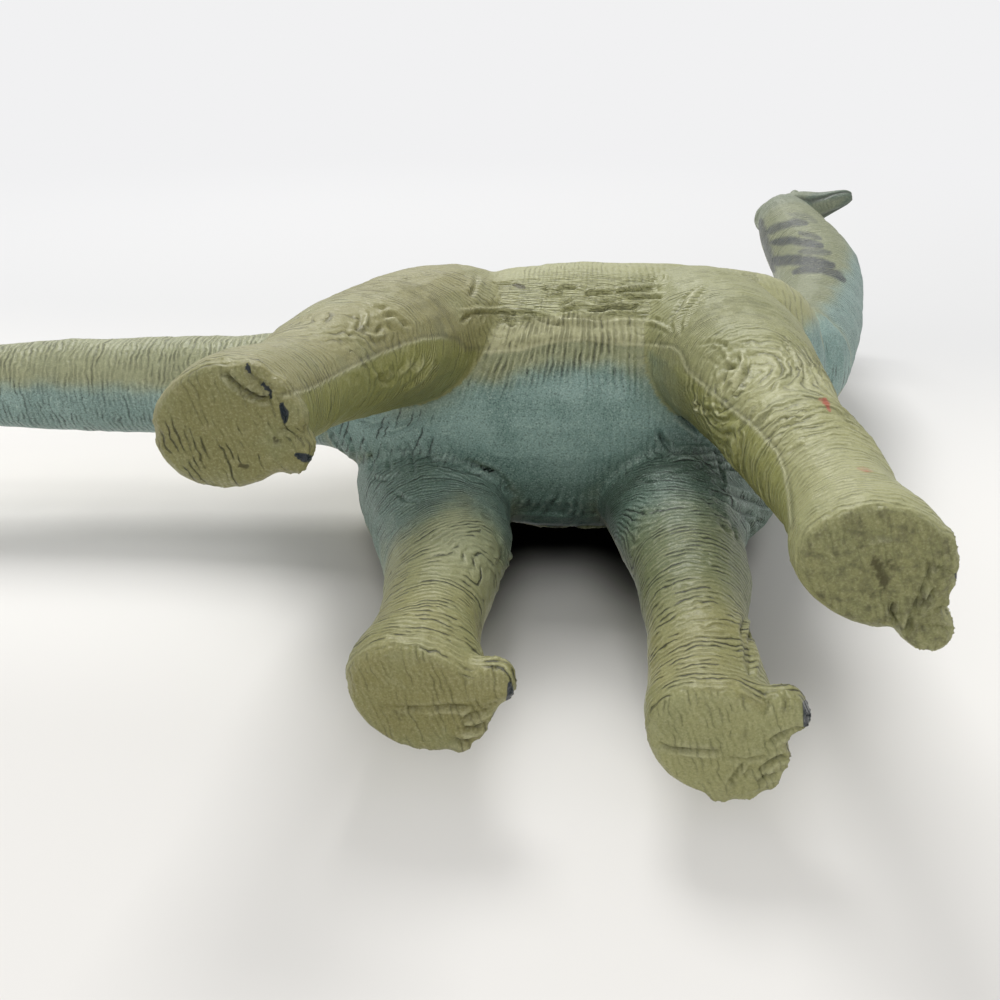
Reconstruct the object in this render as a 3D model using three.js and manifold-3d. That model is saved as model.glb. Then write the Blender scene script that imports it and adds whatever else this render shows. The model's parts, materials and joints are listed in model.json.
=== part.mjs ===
import * as THREE from "three";
import { LoftGeometry } from "three/addons/geometries/LoftGeometry.js";
import { mergeVertices } from "three/addons/utils/BufferGeometryUtils.js";
import Module from "manifold-3d";

// A long-necked toy dinosaur, walking. Millimetres, +X forward, +Y to its left, +Z up, soles on the ground.

const wasm = await Module();
wasm.setup();

// Body
const trunkLength = 96;
const trunkWidth = 54;
const trunkDepth = 56;
const hipHeight = 92;
const tailLength = 170;
const tailDiameter = 20.4;
const neckLength = 135;
const neckDiameter = 22.5;
const headLength = 30;
const headWidth = 12.5;
const headDepth = 14;
const headTurn = -15;
const headPitch = 8;

// Legs and feet
const foreLegDiameter = 17;
const hindLegDiameter = 17.5;
const thumbReach = 4.3;
const thumbThickness = 7.2;
const foreToeReach = 0.8;
const foreToeThickness = 4.6;
const clawReach = 4.4;
const clawThickness = 7;
const eyeDiameter = 2.6;
const nostrilDiameter = 1.9;

// Joins between the mouldings
const joinGap = 0.3;
const plugDiameter = 9;
const plugDepth = 7;
const headPlugDiameter = 6;
const headPlugDepth = 4.5;
const studDiameter = 4;
const studDepth = 5;

const forward = new THREE.Vector3(1, 0, 0);
const leftward = new THREE.Vector3(0, 1, 0);
const upward = new THREE.Vector3(0, 0, 1);

// Trunk sections from rump to chest: place along the trunk, height of the centre, width and depth.
const trunkShares = [
  [-0.5, 1.005, 0.46, 0.47],
  [-0.4, 1.0, 0.68, 0.69],
  [-0.25, 1.01, 0.89, 0.9],
  [-0.06, 1.038, 1.0, 0.985],
  [0.125, 1.076, 1.0, 1.0],
  [0.27, 1.13, 0.95, 0.95],
  [0.4, 1.185, 0.87, 0.82],
  [0.475, 1.22, 0.73, 0.62],
  [0.525, 1.245, 0.5, 0.4],
  [0.55, 1.255, 0.2, 0.17],
];

// Tail sections from the rump to the tip: distance back, sideways, down, and thickness.
const tailShares = [
  [0.06, 0, 0, 1.16],
  [0.13, 0, 0.008, 1.07],
  [0.247, 0, 0.018, 1.0],
  [0.341, 0, 0.032, 0.95],
  [0.435, 0, 0.05, 0.85],
  [0.57, 0.006, 0.079, 0.69],
  [0.718, 0.018, 0.12, 0.51],
  [0.865, 0.035, 0.162, 0.33],
  [0.976, 0.053, 0.188, 0.17],
  [1, 0.057, 0.192, 0.07],
];

// Neck sections from inside the chest to the skull: forward, sideways and up, then width and depth.
const neckRootShares = [0.292, 0, 1.217];
const neckShares = [
  [0, 0, 0, 1.34, 1.42],
  [0.086, 0, 0.046, 1.28, 1.32],
  [0.137, -0.001, 0.1, 1.15, 1.18],
  [0.17, -0.006, 0.185, 1.03, 1.03],
  [0.198, -0.015, 0.296, 0.97, 0.97],
  [0.219, -0.03, 0.437, 0.96, 0.98],
  [0.23, -0.048, 0.589, 0.97, 0.99],
  [0.207, -0.07, 0.77, 0.89, 0.92],
  [0.19, -0.089, 0.926, 0.76, 0.79],
  [0.185, -0.096, 0.985, 0.66, 0.68],
];
const neckSeamShare = 0.26;
const headSeamShare = 0.9;

// Head sections from the nape to the snout: place along the head, rise, width and depth.
const headShares = [
  [-0.29, 0.02, 0.22, 0.26],
  [-0.24, 0.03, 0.6, 0.68],
  [-0.1, 0.05, 0.9, 0.94],
  [0.08, 0.06, 1.0, 1.0],
  [0.26, 0.1, 0.92, 0.94],
  [0.4, 0.03, 0.76, 0.7],
  [0.54, -0.02, 0.7, 0.54],
  [0.67, -0.04, 0.6, 0.44],
  [0.73, -0.05, 0.34, 0.26],
];

// Eyes and nostrils: place along the head, then up and out as shares of its half depth and half width there.
const eyeShares = [0.2, 0.42, 0.86];
const nostrilShares = [0.38, 0.84, 0.42];

// Leg sections from the sole to the shoulder or hip: height, length fore and aft, and width.
const foreLegShares = [
  [0, 0.92, 0.81],
  [0.012, 1.05, 0.93],
  [0.035, 1.11, 1.0],
  [0.08, 1.09, 0.99],
  [0.15, 0.97, 0.93],
  [0.22, 0.9, 0.88],
  [0.36, 0.96, 0.94],
  [0.5, 1.11, 1.06],
  [0.62, 1.26, 1.18],
  [0.74, 1.46, 1.32],
  [0.87, 1.76, 1.45],
  [1.02, 1.95, 1.48],
  [1.13, 1.72, 1.3],
  [1.21, 1.15, 0.9],
  [1.25, 0.4, 0.35],
];
const hindLegShares = [
  [0, 0.93, 0.78],
  [0.012, 1.06, 0.9],
  [0.035, 1.12, 0.96],
  [0.08, 1.09, 0.96],
  [0.15, 0.96, 0.94],
  [0.21, 0.92, 0.91],
  [0.33, 0.97, 0.95],
  [0.46, 1.12, 1.06],
  [0.58, 1.34, 1.18],
  [0.7, 1.58, 1.3],
  [0.84, 1.82, 1.4],
  [0.96, 1.9, 1.42],
  [1.07, 1.7, 1.28],
  [1.14, 1.2, 0.95],
  [1.18, 0.4, 0.35],
];

// Swellings on a leg: height, turn from the front towards the outer side, reach up and round, and swell.
const foreMuscleShares = [
  [0.06, 0.5, 0.07, 0.14, 0.09],
  [0.43, 0, 0.07, 0.12, 0.14],
  [0.66, 0.22, 0.13, 0.16, 0.08],
  [0.82, 0.52, 0.09, 0.13, 0.14],
];
const hindMuscleShares = [
  [0.06, 0.5, 0.07, 0.14, 0.1],
  [0.17, 0.5, 0.05, 0.12, 0.08],
  [0.48, 0.48, 0.12, 0.14, 0.12],
  [0.62, 0.04, 0.08, 0.12, 0.12],
  [0.9, 0.1, 0.12, 0.16, 0.08],
];

// Where each leg's middle runs: height, place along the trunk, and distance from the middle plane.
// The feet turn outwards from the ankle down, by an angle in degrees. Each toe then has its own turn from
// straight ahead towards the inner side, and the share of its reach that shows. A leg may have swellings
// and hollows of its own besides those of its kind.
const legs = [
  {
    name: "right_front_leg",
    side: -1,
    kind: "fore",
    footTurn: 2,
    toeTurns: [53, 34, 16, -1, -18],
    toeReachShares: [1.4, 1.6, 0.5, 0.1, 0.1],
    ownShares: [[0.04, 0.6, 0.08, 0.1, -0.08], [0.03, 0.8, 0.08, 0.1, 0.12], [0.31, 0.04, 0.09, 0.14, 0.24]],
    coreShares: [[0, 0.469, 0.52], [0.1, 0.467, 0.48], [0.22, 0.449, 0.456], [0.6, 0.38, 0.466],
      [0.8, 0.333, 0.53], [1.05, 0.26, 0.575], [1.25, 0.23, 0.54]],
  },
  {
    name: "left_front_leg",
    side: 1,
    kind: "fore",
    footTurn: 32,
    toeTurns: [61, 20, -3, -27, -51],
    toeReachShares: [0.9, 0.7, 1, 1, 1],
    ownShares: [[0.96, 0.03, 0.15, 0.11, 0.3], [0.64, 0.5, 0.12, 0.12, 0.15]],
    coreShares: [[0, 0.3, 0.53], [0.1, 0.296, 0.51], [0.2, 0.278, 0.42], [0.5, 0.258, 0.415],
      [0.8, 0.245, 0.51], [1.05, 0.23, 0.575], [1.25, 0.22, 0.54]],
  },
  {
    name: "right_hind_leg",
    side: -1,
    kind: "hind",
    footTurn: 24,
    toeTurns: [50, 14, -9, -35],
    toeReachShares: [0.5, 0.4, 0.5, 0.5],
    ownShares: [[0.3, 0.25, 0.12, 0.16, -0.13]],
    coreShares: [[0, -0.36, 0.985], [0.09, -0.365, 0.96], [0.19, -0.363, 0.92], [0.35, -0.366, 0.83],
      [0.59, -0.35, 0.72], [0.83, -0.305, 0.62], [1, -0.265, 0.56], [1.18, -0.22, 0.54]],
  },
  {
    name: "left_hind_leg",
    side: 1,
    kind: "hind",
    footTurn: 22,
    toeTurns: [35, 14, -6, -27],
    toeReachShares: [0.95, 0.6, 0.8, 1],
    ownShares: [],
    coreShares: [[0, -0.12, 0.43], [0.09, -0.126, 0.44], [0.19, -0.142, 0.45], [0.33, -0.156, 0.48],
      [0.48, -0.174, 0.52], [0.7, -0.235, 0.56], [0.9, -0.275, 0.58], [1.18, -0.23, 0.53]],
  },
];
const rimShare = 0.035;
const footShare = 0.08;
const ankleShare = 0.25;

// Toes from the inner side to the outer one: how far each stands out of the rim, and its thickness.
const foreToes = [
  { reach: thumbReach, thickness: thumbThickness },
  ...Array.from({ length: 4 }, () => ({ reach: foreToeReach, thickness: foreToeThickness })),
];
const hindToes = [1, 0.4, 0.22, 0.14].map((clawShare) => ({
  reach: clawReach * clawShare,
  thickness: (clawThickness * (1 + clawShare)) / 2,
}));
const legKinds = {
  fore: { shares: foreLegShares, muscleShares: foreMuscleShares, diameter: foreLegDiameter, toes: foreToes },
  hind: { shares: hindLegShares, muscleShares: hindMuscleShares, diameter: hindLegDiameter, toes: hindToes },
};

// A toe from under the foot to its tip: place along it, height of its middle and thickness.
const toeShares = [
  [0, 0.56, 0.86],
  [0.45, 0.62, 1],
  [0.75, 0.58, 0.98],
  [0.92, 0.52, 0.8],
  [1, 0.47, 0.46],
];
const toeRootShare = 0.45;

// The panel under the belly: its ends along the trunk, how far below the trunk's middle it starts there
// as a share of the trunk's half depth, and its studs.
const panelEndShares = [-0.24, 0.27];
const panelDropShares = [0.82, 0.906];
const studPlaceShares = [-0.1, 0.12];

// Reads a table between its rows, with a smooth curve through every column.
function readTable(rows, at) {
  const last = rows.length - 1;
  let k = 0;
  while (k < last - 1 && at > rows[k + 1][0]) k += 1;
  const span = rows[k + 1][0] - rows[k][0];
  const t = (at - rows[k][0]) / span;
  return rows[k].map((value, column) => {
    const slope = (i) => {
      const before = rows[Math.max(i - 1, 0)];
      const after = rows[Math.min(i + 1, last)];
      return ((after[column] - before[column]) / (after[0] - before[0])) * span;
    };
    const change = rows[k + 1][column] - value;
    const bend = slope(k) + slope(k + 1) - 2 * change;
    return value + t * (slope(k) + t * (change - slope(k) - bend + t * bend));
  });
}

// The places where a table is cut into sections: every row, and even steps between rows.
function stations(rows, steps) {
  const places = [rows[0][0]];
  for (let k = 1; k < rows.length; k += 1) {
    for (let i = 1; i <= steps; i += 1) {
      places.push(THREE.MathUtils.lerp(rows[k - 1][0], rows[k][0], i / steps));
    }
  }
  return places;
}

// Turns a closed geometry into a solid that can be joined and cut.
function solid(geometry) {
  const bare = new THREE.BufferGeometry();
  bare.setAttribute("position", geometry.attributes.position);
  bare.setIndex(geometry.index);
  const merged = mergeVertices(bare);
  return new wasm.Manifold(new wasm.Mesh({
    numProp: 3,
    vertProperties: new Float32Array(merged.attributes.position.array),
    triVerts: new Uint32Array(merged.index.array),
  }));
}

// Lofts a solid through oval sections, each given by its middle and its two half axes.
function loft(sections, around) {
  const rings = sections.map(({ middle, across, rise, swell = () => 1 }) =>
    Array.from({ length: around }, (_, k) => {
      const turn = k / around;
      const angle = 2 * Math.PI * turn;
      return middle.clone()
        .addScaledVector(across, swell(turn) * Math.cos(angle))
        .addScaledVector(rise, swell(turn) * Math.sin(angle));
    }));
  return solid(new LoftGeometry(rings, { capStart: true, capEnd: true }));
}

// A block on the far side of a plane, as large as the whole figure.
function beyond(point, direction) {
  const reach = tailLength + trunkLength + neckLength + hipHeight;
  const block = new THREE.BoxGeometry(reach, reach, reach).translate(0, 0, reach / 2);
  block.applyQuaternion(new THREE.Quaternion().setFromUnitVectors(upward, direction));
  return solid(block.translate(point.x, point.y, point.z));
}

// A round plug that starts below a seam and stands proud of it.
function plug(point, direction, diameter, depth) {
  const pin = new THREE.CylinderGeometry(diameter / 2, diameter / 2, 2 * depth, 20).rotateX(Math.PI / 2);
  pin.applyQuaternion(new THREE.Quaternion().setFromUnitVectors(upward, direction));
  return solid(pin.translate(point.x, point.y, point.z));
}

// Parts a solid at a plane: the piece behind gets the socket and the piece ahead the plug.
function part(whole, point, direction, diameter, depth) {
  const gapPoint = point.clone().addScaledVector(direction, joinGap);
  const socket = plug(point, direction, diameter + 2 * joinGap, depth + joinGap);
  const pin = plug(gapPoint, direction, diameter, depth);
  const behind = whole.subtract(beyond(point, direction)).subtract(socket);
  const ahead = whole.intersect(beyond(gapPoint, direction)).add(pin);
  return { behind, ahead };
}

// Trunk and tail in one sweep from the tail's tip to the chest.
const trunkRows = trunkShares.map(([along, height, width, depth]) =>
  [along * trunkLength, 0, height * hipHeight, (width * trunkWidth) / 2, (depth * trunkDepth) / 2]);
const [rumpX, , rumpZ] = trunkRows[0];
const tailRows = tailShares.map(([back, side, drop, thickness]) => {
  const half = (thickness * tailDiameter) / 2;
  return [rumpX - back * tailLength, side * tailLength, rumpZ - drop * tailLength, half, half];
});
const bodyRows = [...tailRows.reverse(), ...trunkRows];
const body = loft(stations(bodyRows, 2).map((x) => {
  const [, y, z, halfWidth, halfDepth] = readTable(bodyRows, x);
  return {
    middle: new THREE.Vector3(x, y, z),
    across: leftward.clone().multiplyScalar(halfWidth),
    rise: upward.clone().multiplyScalar(halfDepth),
  };
}), 30);

// The neck's curve, with its sections square to it.
const neckRoot = new THREE.Vector3(
  neckRootShares[0] * trunkLength, neckRootShares[1] * trunkWidth, neckRootShares[2] * hipHeight);
const neckCurve = new THREE.CatmullRomCurve3(neckShares.map(([ahead, side, up]) =>
  new THREE.Vector3(ahead, side, up).multiplyScalar(neckLength).add(neckRoot)));
const neckSizes = neckShares.map(([, , , width, depth], k) => [k / (neckShares.length - 1), width, depth]);
const neck = loft(stations(neckSizes, 3).map((t) => {
  const [, width, depth] = readTable(neckSizes, t);
  const tangent = neckCurve.getTangent(t);
  const rise = new THREE.Vector3().crossVectors(tangent, leftward).normalize();
  const across = new THREE.Vector3().crossVectors(rise, tangent);
  return {
    middle: neckCurve.getPoint(t),
    across: across.multiplyScalar((width * neckDiameter) / 2),
    rise: rise.multiplyScalar((depth * neckDiameter) / 2),
  };
}), 24);

// The head, on a line that starts at the neck's end.
const skull = neckCurve.getPoint(1);
const headPose = new THREE.Quaternion().setFromEuler(new THREE.Euler(
  0, THREE.MathUtils.degToRad(-headPitch), THREE.MathUtils.degToRad(headTurn), "ZYX"));
const headAhead = forward.clone().applyQuaternion(headPose);
const headLeft = leftward.clone().applyQuaternion(headPose);
const headUp = upward.clone().applyQuaternion(headPose);
let head = loft(stations(headShares, 2).map((at) => {
  const [, rise, width, depth] = readTable(headShares, at);
  return {
    middle: skull.clone().addScaledVector(headAhead, at * headLength).addScaledVector(headUp, rise * headLength),
    across: headLeft.clone().multiplyScalar((width * headWidth) / 2),
    rise: headUp.clone().multiplyScalar((depth * headDepth) / 2),
  };
}), 20);

for (const [diameter, [at, up, out]] of [[eyeDiameter, eyeShares], [nostrilDiameter, nostrilShares]]) {
  const [, rise, width, depth] = readTable(headShares, at);
  for (const side of [-1, 1]) {
    const middle = skull.clone()
      .addScaledVector(headAhead, at * headLength)
      .addScaledVector(headUp, rise * headLength + (up * depth * headDepth) / 2)
      .addScaledVector(headLeft, (side * out * width * headWidth) / 2);
    head = head.add(solid(new THREE.SphereGeometry(diameter / 2, 10, 6).translate(...middle.toArray())));
  }
}

// The level directions ahead and to the left on a leg, which turn outwards towards the foot.
function legAxes({ side, footTurn }, height) {
  const turned = 1 - THREE.MathUtils.smoothstep(height, footShare, ankleShare);
  const angle = THREE.MathUtils.degToRad(side * footTurn * turned);
  return [forward, leftward].map((axis) => axis.clone().applyAxisAngle(upward, angle));
}

// One leg, or with a clearance the space that it needs.
function legSolid(leg, clearance) {
  const { side, kind, ownShares, coreShares } = leg;
  const { shares, muscleShares, diameter } = legKinds[kind];
  const top = shares[shares.length - 1][0];
  return loft(stations(shares, 2).map((height) => {
    const [, along, out] = readTable(coreShares, height);
    const [, length, width] = readTable(shares, height);
    const lift = height === top ? clearance : 0;
    const [ahead, left] = legAxes(leg, height);
    return {
      middle: new THREE.Vector3(along * trunkLength, (side * out * trunkWidth) / 2, height * hipHeight + lift),
      across: ahead.multiplyScalar((length * diameter) / 2 + clearance),
      rise: left.multiplyScalar((width * diameter) / 2 + clearance),
      swell: (turn) => {
        const outerTurn = side > 0 ? turn : 1 - turn;
        return [...muscleShares, ...ownShares].reduce((sum, [at, middleTurn, reach, reachTurn, rise]) => {
          const apart = Math.abs(outerTurn - middleTurn);
          const turned = Math.min(apart, 1 - apart) / reachTurn;
          return sum + rise * Math.exp(-(((height - at) / reach) ** 2) - turned ** 2);
        }, 1);
      },
    };
  }), 21);
}

// A toe or claw on the rim of a foot.
function toeSolid(leg, { reach, thickness }, turn, reachShare) {
  const { side, kind, coreShares } = leg;
  const { shares, diameter } = legKinds[kind];
  const [, along, out] = coreShares[0];
  const angle = THREE.MathUtils.degToRad(turn);
  const [ahead, across] = legAxes(leg, 0).map((axis) => axis.applyAxisAngle(upward, -side * angle));
  const [, rimLength, rimWidth] = readTable(shares, rimShare);
  const rim = Math.hypot(rimLength * Math.cos(angle), rimWidth * Math.sin(angle)) * (diameter / 2);
  const sole = new THREE.Vector3(along * trunkLength, (side * out * trunkWidth) / 2, 0);
  return loft(stations(toeShares, 1).map((at) => {
    const [, height, size] = readTable(toeShares, at);
    const reached = THREE.MathUtils.lerp(rim * toeRootShare, rim + reach * reachShare, at);
    return {
      middle: sole.clone().addScaledVector(ahead, reached).addScaledVector(upward, height * thickness),
      across: across.clone().multiplyScalar((size * thickness) / 2),
      rise: upward.clone().multiplyScalar((size * thickness) / 2),
    };
  }), 9);
}

// The belly panel lies under the trunk between the legs, with two studs up into it.
const [panelBack, panelFront] = panelEndShares.map((share) => share * trunkLength);
const [panelBackTop, panelFrontTop] = panelDropShares.map((share, k) => {
  const [, , middle, , halfDepth] = readTable(trunkRows, [panelBack, panelFront][k]);
  return middle - share * halfDepth;
});
function panelSpace(clearance) {
  const outline = new THREE.Shape([
    new THREE.Vector2(panelBack - clearance, 0),
    new THREE.Vector2(panelFront + clearance, 0),
    new THREE.Vector2(panelFront + clearance, panelFrontTop + clearance),
    new THREE.Vector2(panelBack - clearance, panelBackTop + clearance),
  ]);
  return solid(new THREE.ExtrudeGeometry(outline, { depth: 2 * trunkWidth, bevelEnabled: false })
    .rotateX(Math.PI / 2)
    .translate(0, trunkWidth, 0));
}
function studs(clearance) {
  return studPlaceShares.map((share) => {
    const slope = (panelFrontTop - panelBackTop) / (panelFront - panelBack);
    const foot = panelBackTop + slope * (share * trunkLength - panelBack);
    const radius = studDiameter / 2 + clearance;
    return solid(new THREE.CylinderGeometry(radius, radius, 2 * (studDepth + clearance), 16)
      .rotateX(Math.PI / 2)
      .translate(share * trunkLength, 0, foot));
  });
}
let panel = body.intersect(panelSpace(0));
let trunk = body.add(neck).subtract(panelSpace(joinGap));
for (const stud of studs(0)) panel = panel.add(stud);
for (const hole of studs(joinGap)) trunk = trunk.subtract(hole);

const pieces = {};
for (const leg of legs) {
  const { toes } = legKinds[leg.kind];
  const ground = new THREE.Vector3(0, 0, 0);
  let whole = legSolid(leg, 0);
  toes.forEach((toe, k) => {
    whole = whole.add(toeSolid(leg, toe, leg.toeTurns[k], leg.toeReachShares[k]));
  });
  pieces[leg.name] = whole.intersect(beyond(ground, upward));
  const socket = legSolid(leg, joinGap);
  trunk = trunk.subtract(socket);
  panel = panel.subtract(socket);
}
pieces.belly_panel = panel;

// Tail, neck and head are parted from the trunk across their curves.
const tailSeam = new THREE.Vector3(rumpX, 0, rumpZ);
const tailJoin = part(trunk, tailSeam, forward.clone().negate(), plugDiameter, plugDepth);
pieces.tail = tailJoin.ahead;
const neckJoin = part(tailJoin.behind, neckCurve.getPoint(neckSeamShare), neckCurve.getTangent(neckSeamShare),
  plugDiameter, plugDepth);
pieces.torso = neckJoin.behind;
const headJoin = part(neckJoin.ahead.add(head), neckCurve.getPoint(headSeamShare),
  neckCurve.getTangent(headSeamShare), headPlugDiameter, headPlugDepth);
pieces.neck = headJoin.behind;
pieces.head = headJoin.ahead;

const colours = {
  torso: 0xa8ac88,
  belly_panel: 0x6a8278,
  right_front_leg: 0xa4a583,
  left_front_leg: 0x8f936f,
  right_hind_leg: 0x88865e,
  left_hind_leg: 0x939674,
  neck: 0x8f9b8c,
  head: 0x7b8471,
  tail: 0x949a81,
};

const group = new THREE.Group();
for (const [name, colour] of Object.entries(colours)) {
  const { vertProperties, triVerts } = pieces[name].getMesh();
  const geometry = new THREE.BufferGeometry();
  geometry.setAttribute("position", new THREE.BufferAttribute(vertProperties, 3));
  geometry.setIndex(new THREE.BufferAttribute(triVerts, 1));
  geometry.computeVertexNormals();
  const material = new THREE.MeshStandardMaterial({ color: colour, roughness: 0.6, metalness: 0 });
  const mesh = new THREE.Mesh(geometry, material);
  mesh.name = name;
  group.add(mesh);
}

// The origin lies on the ground under the middle of the figure.
const bounds = new THREE.Box3().setFromObject(group);
const centre = bounds.getCenter(new THREE.Vector3());
group.position.set(-centre.x, -centre.y, -bounds.min.z);

export default group;
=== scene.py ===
import json
import math
import bpy
import numpy as np
from mathutils import Matrix, Vector
from mathutils.bvhtree import BVHTree


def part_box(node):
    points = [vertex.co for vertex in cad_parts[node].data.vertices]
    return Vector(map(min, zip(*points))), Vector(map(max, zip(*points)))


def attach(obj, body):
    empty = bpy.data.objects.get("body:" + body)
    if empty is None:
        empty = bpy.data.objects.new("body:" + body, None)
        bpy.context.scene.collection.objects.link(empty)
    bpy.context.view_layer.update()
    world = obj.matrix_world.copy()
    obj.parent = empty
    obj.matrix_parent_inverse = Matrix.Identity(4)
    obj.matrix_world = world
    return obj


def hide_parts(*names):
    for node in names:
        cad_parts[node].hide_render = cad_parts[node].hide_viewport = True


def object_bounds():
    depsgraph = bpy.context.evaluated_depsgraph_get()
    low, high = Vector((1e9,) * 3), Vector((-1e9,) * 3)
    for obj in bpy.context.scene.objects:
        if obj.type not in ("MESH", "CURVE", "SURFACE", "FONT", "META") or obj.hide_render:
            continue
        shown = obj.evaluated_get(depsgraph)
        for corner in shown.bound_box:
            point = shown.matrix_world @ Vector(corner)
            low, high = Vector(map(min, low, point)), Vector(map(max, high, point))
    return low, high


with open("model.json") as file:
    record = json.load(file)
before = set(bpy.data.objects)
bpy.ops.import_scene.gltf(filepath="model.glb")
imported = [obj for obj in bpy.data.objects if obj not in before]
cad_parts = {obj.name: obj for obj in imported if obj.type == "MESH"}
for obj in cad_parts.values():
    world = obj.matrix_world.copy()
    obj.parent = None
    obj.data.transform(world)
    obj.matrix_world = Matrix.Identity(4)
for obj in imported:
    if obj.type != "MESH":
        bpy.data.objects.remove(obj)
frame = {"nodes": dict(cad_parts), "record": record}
cadLow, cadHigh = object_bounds()
nodeNames = sorted(frame["nodes"])
trunkNodes = ["belly_panel", "torso"]
legNodes = ["right_front_leg", "left_front_leg", "right_hind_leg", "left_hind_leg"]
rightFront, leftFront, rightHind, leftHind = legNodes
rightLegs, leftLegs = [rightFront, rightHind], [leftFront, leftHind]
limbNodes = [name for name in nodeNames if name not in trunkNodes]
mm = 0.001
print("frame loaded:", len(nodeNames), "nodes")


def addObject(name, data):
    made = bpy.data.objects.new(name, data)
    bpy.context.scene.collection.objects.link(made)
    return made


# Camera: the figure lies on its left side, belly towards the lens

cameraValues = {
    "place": (90.337, -70.345, -117.476),  # mm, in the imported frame
    "right": (0.98769, 0.0, 0.15643),
    "up": (-0.06487, -0.90996, 0.40959),
    "focal": 1080,  # pixels
    "picture": 1000,  # pixels on a side
    "sensor": 36,  # mm
}


def makeCamera(values):
    camera = addObject("camera", bpy.data.cameras.new("camera"))
    right, up = Vector(values["right"]).normalized(), Vector(values["up"]).normalized()
    turn = Matrix((right, up, right.cross(up))).transposed()
    camera.matrix_world = Matrix.Translation(Vector(values["place"]) * mm) @ turn.to_4x4()
    camera.data.sensor_width = values["sensor"]
    camera.data.lens = values["focal"] / values["picture"] * values["sensor"]
    camera.data.clip_start, camera.data.clip_end = 0.01, 10
    bpy.context.scene.camera = camera
    return camera


camera = makeCamera(cameraValues)


def toPicture(points):
    # where points in mm lie in the photograph's pixels
    turn = np.array(camera.matrix_world.to_3x3())
    local = (points - np.array(cameraValues["place"])) @ turn
    middle = cameraValues["picture"] / 2
    scale = cameraValues["focal"] / -local[:, 2]
    return middle + local[:, 0] * scale, middle - local[:, 1] * scale


# Numbers for the skin

def latticeNoise(points, seed):
    # smooth values from -1 to 1, for points with any number of coordinates
    base = np.floor(points).astype(np.int64)
    part = points - base
    part = part * part * (3 - 2 * part)
    total = np.zeros(len(points))
    for corner in range(2 ** points.shape[1]):
        weight = np.ones(len(points))
        key = np.full(len(points), seed * 7919 + 17, dtype=np.int64)
        for axis in range(points.shape[1]):
            bit = corner >> axis & 1
            weight *= part[:, axis] if bit else 1 - part[:, axis]
            key = (key ^ (base[:, axis] + bit)) * 1103515245 + 12345 & 0x7FFFFFFF
            key ^= key >> 11
        key = key * 1274126177 & 0x7FFFFFFF
        total += weight * (key / 0x3FFFFFFF - 1)
    return total


def rise(values, low, high):
    # from 0 at the low value to 1 at the high one
    share = np.clip((values - low) / (high - low), 0, 1)
    return share * share * (3 - 2 * share)


def fall(values, low, high):
    return 1 - rise(values, low, high)


def bump(values, width):
    return np.exp(-(values / width) ** 2)


def unit(vectors):
    return vectors / np.maximum(np.linalg.norm(vectors, axis=-1, keepdims=True), 1e-9)


# The skin: all the mouldings as one dense surface, which is parted again at the end

skinValues = {
    "swell": 0.45,  # mm that each moulding grows, so that the play between them closes
    "voxel": 0.45,
    "smoothing": 10,
    "rimHeight": 7,  # mm above the ground up to which a sole's edge is softened
    "rimSlope": (0.25, 0.9),  # how far down the skin faces at that edge
    "rimSpread": 50,
    "rimSmoothing": 90,
}


def nodeArrays(name):
    mesh = frame["nodes"][name].data
    points = np.empty(len(mesh.vertices) * 3)
    mesh.vertices.foreach_get("co", points)
    mesh.calc_loop_triangles()
    corners = np.empty(len(mesh.loop_triangles) * 3, np.int32)
    mesh.loop_triangles.foreach_get("vertices", corners)
    points = points.reshape(-1, 3) / mm
    kept, where = np.unique(points.round(4), axis=0, return_inverse=True)
    return kept, where.reshape(-1)[corners].reshape(-1, 3)


def stacked(meshes):
    # several meshes as one, and the number of the mesh that each face comes from
    points, faces, owners, count = [], [], [], 0
    for k, (own, corners) in enumerate(meshes):
        points.append(own)
        faces.append(corners + count)
        owners.append(np.full(len(corners), k))
        count += len(own)
    return np.vstack(points), np.vstack(faces), np.concatenate(owners)


def pointNormals(points, faces):
    # for triangles and squares, each face counted by its area
    flat = np.cross(points[faces[:, 2]] - points[faces[:, 0]], points[faces[:, -1]] - points[faces[:, 1]])
    total = np.zeros_like(points)
    for corner in faces.T:
        for axis in range(3):
            total[:, axis] += np.bincount(corner, flat[:, axis], len(points))
    return unit(total)


def makeMesh(name, points, *groups):
    # each group of faces has its own number of corners
    corners = np.concatenate([faces.ravel() for faces in groups]).astype(np.int32)
    sizes = np.concatenate([np.full(len(faces), faces.shape[1]) for faces in groups])
    mesh = bpy.data.meshes.new(name)
    mesh.vertices.add(len(points))
    mesh.vertices.foreach_set("co", np.asarray(points, np.float32).ravel())
    mesh.loops.add(len(corners))
    mesh.loops.foreach_set("vertex_index", corners)
    mesh.polygons.add(len(sizes))
    mesh.polygons.foreach_set("loop_start", (np.cumsum(sizes) - sizes).astype(np.int32))
    mesh.update(calc_edges=True)
    return mesh


def readMesh(mesh):
    points = np.empty(len(mesh.vertices) * 3, np.float32)
    mesh.vertices.foreach_get("co", points)
    corners = np.empty(len(mesh.loops), np.int32)
    mesh.loops.foreach_get("vertex_index", corners)
    return points.reshape(-1, 3).astype(float), corners.reshape(-1, 4)


def makeSkin(values):
    swell = values["swell"]
    swollen = [(own + swell * pointNormals(own, faces), faces) for own, faces in nodeMeshes.values()]
    blank = addObject("blank", makeMesh("blank", *stacked(swollen)[:2]))
    remesh = blank.modifiers.new("remesh", "REMESH")
    remesh.mode = "VOXEL"
    remesh.voxel_size = values["voxel"]
    smooth = blank.modifiers.new("smooth", "SMOOTH")
    smooth.iterations = values["smoothing"]
    made = blank.evaluated_get(bpy.context.evaluated_depsgraph_get()).to_mesh()
    points, quads = readMesh(made)
    bpy.data.objects.remove(blank)
    return points - swell * pointNormals(points, quads), quads


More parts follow.
